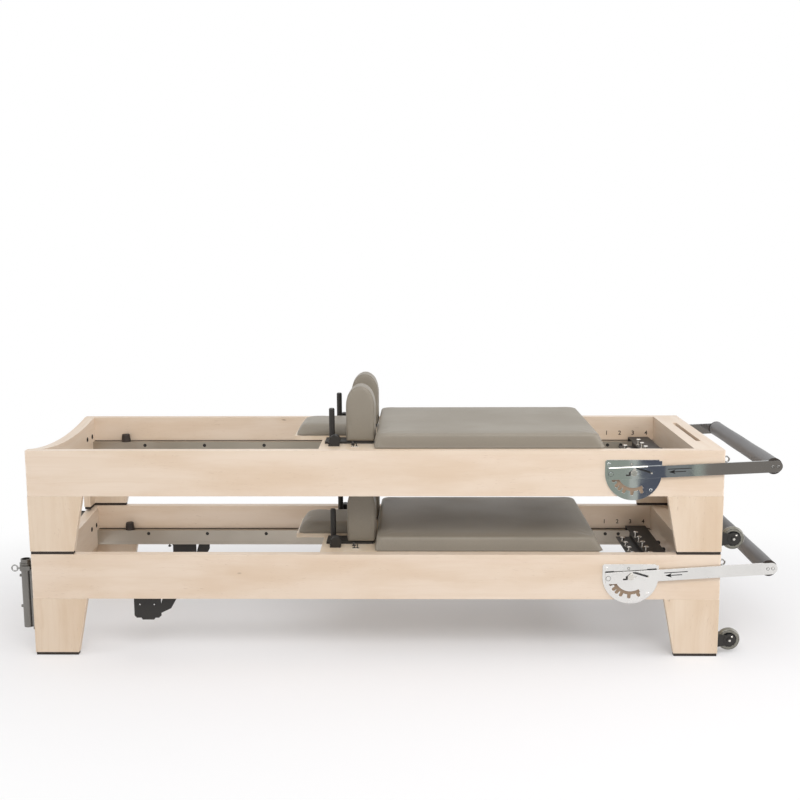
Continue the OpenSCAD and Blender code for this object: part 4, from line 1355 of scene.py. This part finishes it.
@dataclass
class TransportWheel:
    """Grey tyre on a black hub that replaces the plain wheel of one side, and its fork's cover.

    Args:
        unit: The unit.
        side: -1 for the near wheel and 1 for the far one.
    """

    unit: Unit
    side: int
    centre_mm: Triple = (1237.0, 310.0, 49.0)

    def turn(self, profile: Profile, x_mm: float = 0.0, z_mm: float = 0.0) -> Piece:
        """A lathe piece round the axle, or beside it by x_mm and z_mm."""
        x, y, z = self.centre_mm
        place = at(x + x_mm, self.side * y, z + z_mm + self.unit.rise_mm)
        return turned(mirrored(profile, self.side), place, steps=56 if profile[0][0] else 16)

    def cover(self, name: str) -> None:
        """Round black cover outside the fork, with a small plated screw."""
        disc = self.turn(((6.5, 16.1), (21.6, 16.1), (22.0, 16.8), (21.2, 17.8), (18.0, 18.2), (6.5, 18.2)))
        screw = self.turn(((0.0, 19.5), (1.6, 19.4), (2.8, 18.9), (3.4, 18.2), (3.4, 17.6), (0.0, 17.6)),
                          8.0, 12.5)
        cap = self.turn(((0.0, 22.6), (2.6, 22.4), (4.8, 21.8), (6.2, 20.8), (6.4, 20.0), (0.0, 20.0)))
        finish_in(self.unit, disc, name + "_fork_cover", POWDER, "frame")
        finish_in(self.unit, fuse([screw, cap]), name + "_fork_screws", BRIGHT, "frame")

    def build(self) -> None:
        """Tyre, hub and cover of the wheel."""
        name = "near" if self.side < 0 else "far"
        tyre = self.turn(((26.0, -11.0), (27.5, -11.9), (33.0, -12.0), (37.0, -9.5), (39.3, -5.0),
                          (40.0, 0.0), (39.3, 5.0), (37.0, 9.5), (33.0, 12.0), (27.5, 11.9), (26.0, 11.0)))
        hub = self.turn(((6.1, -10.0), (12.0, -10.0), (12.8, -9.0), (14.0, -6.0), (23.0, -6.0), (24.0, -9.0),
                         (25.9, -9.5), (25.9, 9.5), (24.0, 9.0), (23.0, 6.0), (14.0, 6.0), (12.8, 9.0),
                         (12.0, 10.0), (6.1, 10.0)))
        marks = [self.turn(((33.4, 12.2), (34.5, 12.2), (34.5, 11.0), (33.4, 11.0)))]
        dot = ((0.0, 12.5), (1.3, 12.3), (1.6, 11.6), (1.6, 9.0), (0.0, 9.0))
        for number in range(12):
            turn = math.radians(30 * number + 12)
            marks.append(self.turn(dot, 25.6 * math.cos(turn), 25.6 * math.sin(turn)))
        body, node = name + "_transport_wheel", (name + "_wheel",)
        finish_in(self.unit, fuse(marks), name + "_wheel_marks", WHEEL_PLASTIC, body)
        finish_in(self.unit, tyre, name + "_tyre", TYRE, body, node)
        finish_in(self.unit, hub, name + "_hub", WHEEL_PLASTIC, body, node)
        self.cover(name)


class RigidParts:
    """All rigid CAD nodes, each with its finish and broken edges."""

    WOOD = 0.0014
    METAL = 0.0004

    def unit_table(self, unit: Unit) -> dict[str, tuple[Finish, float]]:
        """Finish and edge of each node of one unit."""
        upper = unit is Unit.UPPER
        long = MAPLE_LONG_UPPER if upper else MAPLE_LONG
        arms = POLISHED if upper else PLATE
        return {
            "side_boards": (long, self.WOOD),
            "head_board": (MAPLE_CROSS, self.WOOD),
            "foot_board": (MAPLE_CROSS, self.WOOD),
            "legs": (MAPLE_LEG, self.WOOD),
            "leg_pads": (BLACK_RUBBER, 0.001),
            "rails": (ANODISED, self.METAL),
            "strap_hooks": (FITTING, 0.0),
            "rail_bumpers": (BLACK_RUBBER, 0.0015),
            "spring_bar": (POWDER, self.METAL),
            "spring_hooks": (BRIGHT, 0.0003),
            "quadrants": (arms, self.METAL),
            "wheel_brackets": (POWDER, self.METAL),
            "footbar_pivots": (BRIGHT, 0.0006),
            "footbar_arms": (arms, 0.0006),
            "carriage_deck": (MAPLE_PLY, 0.0012),
            "undercarriage": (SATIN, self.METAL),
            "front_wheels": (WHEEL_PLASTIC, self.METAL),
            "rear_wheels": (WHEEL_PLASTIC, self.METAL),
            "headrest_board": (MAPLE_PLY, 0.0015),
            "shoulder_fittings": (POWDER, 0.0005),
        }

    def build(self) -> None:
        """Dresses every rigid node."""
        for unit in Unit:
            for name, (finish, edge) in self.unit_table(unit).items():
                Machined(unit.prefix + name, finish, edge).build()
        Machined("tower_receivers", SATIN, 0.0005).build()
        Machined("near_tower_pin", FITTING).build()
        Machined("far_tower_pin", FITTING).build()
        Machined("under_brackets", POWDER, 0.0004).build()


# ---- studio ----


@dataclass(frozen=True)
class PhotoCamera:
    """Camera solved from the corners of both frames in the photograph."""

    focal_px: float = 1074.13
    width_px: float = 800.0
    place: Triple = (0.1538 + MIDDLE_X, -3.9205, 1.4572)
    pitch: float = 8.819
    yaw: float = -0.991
    roll: float = -0.249

    def build(self) -> None:
        """Places the camera and makes it the scene's own."""
        data = bpy.data.cameras.new("photo_camera")
        data.sensor_width = 36.0
        data.lens = 36.0 * self.focal_px / self.width_px
        camera = linked("photo_camera", data)
        pitch, yaw, roll = (math.radians(v) for v in (self.pitch, self.yaw, self.roll))
        ahead = Vector((math.sin(yaw) * math.cos(pitch), math.cos(yaw) * math.cos(pitch), -math.sin(pitch)))
        right = Vector((math.cos(yaw), -math.sin(yaw), 0.0))
        up = right.cross(ahead)
        level_right = math.cos(roll) * right + math.sin(roll) * up
        level_up = -math.sin(roll) * right + math.cos(roll) * up
        turn = Matrix((level_right, level_up, -ahead)).transposed()
        camera.matrix_world = Matrix.Translation(self.place) @ turn.to_4x4()
        bpy.context.scene.camera = camera


def seen_directly(bench: NodeBench) -> Socket:
    """1 where the camera, a reflection or a clear body sees a surface, and 0 for its light."""
    path = bench.add("ShaderNodeLightPath")
    mirrored = bench.sum(path.outputs["Is Camera Ray"], path.outputs["Is Glossy Ray"], "MAXIMUM")
    return bench.sum(mirrored, path.outputs["Is Transmission Ray"], "MAXIMUM")


@dataclass
class Studio:
    """White studio: floor that fades to white, soft lamps, and cards that metal reflects."""

    floor_colour: Colour = srgb(238, 237, 239)
    lift: float = 0.2
    soft: float = 0.42
    lamps: tuple[tuple[str, Triple, Triple, tuple[float, float], float], ...] = (
        ("key", (0.5, -3.2, 3.4), (0.0, 0.0, 0.3), (3.6, 2.0), 94.0),
        ("top", (0.2, 0.4, 3.4), (0.0, 0.0, 0.3), (4.2, 2.6), 22.0),
        ("left", (-4.2, -1.2, 1.8), (0.0, 0.0, 0.4), (3.0, 2.4), 40.0),
        ("right", (4.2, -1.2, 1.8), (0.0, 0.0, 0.4), (3.0, 2.4), 72.0),
    )
    strips: tuple[tuple[float, Colour], ...] = (
        (1.41, srgb(170, 178, 166)),
        (1.468, srgb(204, 208, 200)),
        (1.63, srgb(100, 104, 116)),
        (1.79, srgb(146, 149, 148)),
        (1.80, srgb(60, 62, 62)),
        (1.866, srgb(180, 187, 176)),
        (3.60, srgb(142, 135, 128)),
    )

    def floor(self) -> None:
        """Round floor that keeps the shadow near the object and fades out around it."""
        bpy.ops.mesh.primitive_circle_add(vertices=96, radius=9.0, fill_type="NGON", location=(0.0, 0.0, 0.0))
        floor = bpy.context.active_object
        floor.name = "studio_floor"
        made = bpy.data.materials.new("Studio floor")
        made.use_nodes = True
        bench = NodeBench(made.node_tree)
        shader = made.node_tree.nodes["Principled BSDF"]
        bench.feed(shader, Base_Color=(*self.floor_colour, 1.0), Roughness=0.75)
        place = bench.add("ShaderNodeTexCoord").outputs["Object"]
        squeezed = bench.stretch(place, (0.42, 0.62, 1.0))
        reach = bench.add("ShaderNodeVectorMath", operation="LENGTH")
        bench.put(reach.inputs[0], squeezed)
        seen = seen_directly(bench)
        fade = bench.sum(bench.ramp(reach.outputs["Value"], 0.42, 1.15, self.lift, 1.0), seen, "MULTIPLY")
        clear = bench.add("ShaderNodeEmission")
        bench.feed(clear, Color=(1.0, 1.0, 1.0, 1.0), Strength=1.0)
        bench.blend(fade, shader, clear, "Material Output")
        floor.data.materials.append(made)

    def world(self) -> None:
        """Soft white light, and plain white where the camera or a reflection sees it."""
        world = bpy.data.worlds.new("studio")
        bpy.context.scene.world = world
        world.use_nodes = True
        bench = NodeBench(world.node_tree)
        soft = world.node_tree.nodes["Background"]
        bench.feed(soft, Color=(1.0, 0.99, 0.98, 1.0), Strength=self.soft)
        white = bench.add("ShaderNodeBackground")
        bench.feed(white, Color=(1.0, 1.0, 1.0, 1.0), Strength=1.0)
        bench.blend(seen_directly(bench), soft, white, "World Output")

    def lamp(self, name: str, place: Triple, aim: Triple, size: tuple[float, float], watts: float) -> None:
        """Adds one soft rectangular lamp that points at aim."""
        data = bpy.data.lights.new(name, "AREA")
        data.shape = "RECTANGLE"
        data.size, data.size_y = size
        data.energy = watts
        lamp = linked(name, data)
        lamp.location = place
        lamp.rotation_mode = "QUATERNION"
        lamp.rotation_quaternion = (Vector(aim) - Vector(place)).to_track_quat("-Z", "Y")
        lamp.visible_camera = False

    def card(self, name: str, corners: Sequence[Triple], colour: Colour) -> None:
        """Adds a card that only reflections see."""
        mesh = bpy.data.meshes.new(name)
        mesh.from_pydata(corners, [], [(0, 1, 2, 3)])
        card = linked(name, mesh)
        made = bpy.data.materials.new(name)
        made.use_nodes = True
        bench = NodeBench(made.node_tree)
        glow = bench.add("ShaderNodeEmission")
        bench.feed(glow, Color=(*colour, 1.0), Strength=1.0)
        bench.put(made.node_tree.nodes["Material Output"].inputs["Surface"], glow.outputs[0])
        mesh.materials.append(made)
        for kind in ("camera", "diffuse", "shadow", "transmission"):
            setattr(card, "visible_" + kind, False)

    def cards(self) -> None:
        """Cards on the floor in front, whose reflections show on the upper bed's polished plates.

        Their sides all point to where the camera stands in the mirror of the plates, so that they
        show upright there.
        """
        eye_x, eye_y = 0.0973, 3.195
        near, far, row = -2.2, -4.8, -3.35

        def corner(x: float, y: float) -> Triple:
            return eye_x + (x - eye_x) * (eye_y - y) / (eye_y - row), y, 0.02

        left = -2.4
        for number, (right, colour) in enumerate(self.strips):
            self.card(f"card {number}", (corner(left, far), corner(right, far), corner(right, near),
                                         corner(left, near)), colour)
            left = right

    def build(self) -> None:
        """Floor, world, lamps, cards and colour handling."""
        bpy.context.scene.view_settings.view_transform = "Standard"
        self.floor()
        self.world()
        for lamp in self.lamps:
            self.lamp(*lamp)
        self.cards()


def main() -> None:
    """Builds the studio, the camera and every piece in order."""
    logging.basicConfig(level=logging.INFO, format="%(name)s: %(message)s")
    PhotoCamera().build()
    Studio().build()
    RigidParts().build()
    Cushions().build()
    Springs().build()
    for unit, tilt in ((Unit.LOWER, 3.7), (Unit.UPPER, 2.7)):
        Footbar(unit, tilt).build()
        PositionNumbers(unit).build()
        Plugs(unit).build()
        for side in SIDES:
            TransportWheel(unit, side).build()


if __name__ == "__main__":
    main()
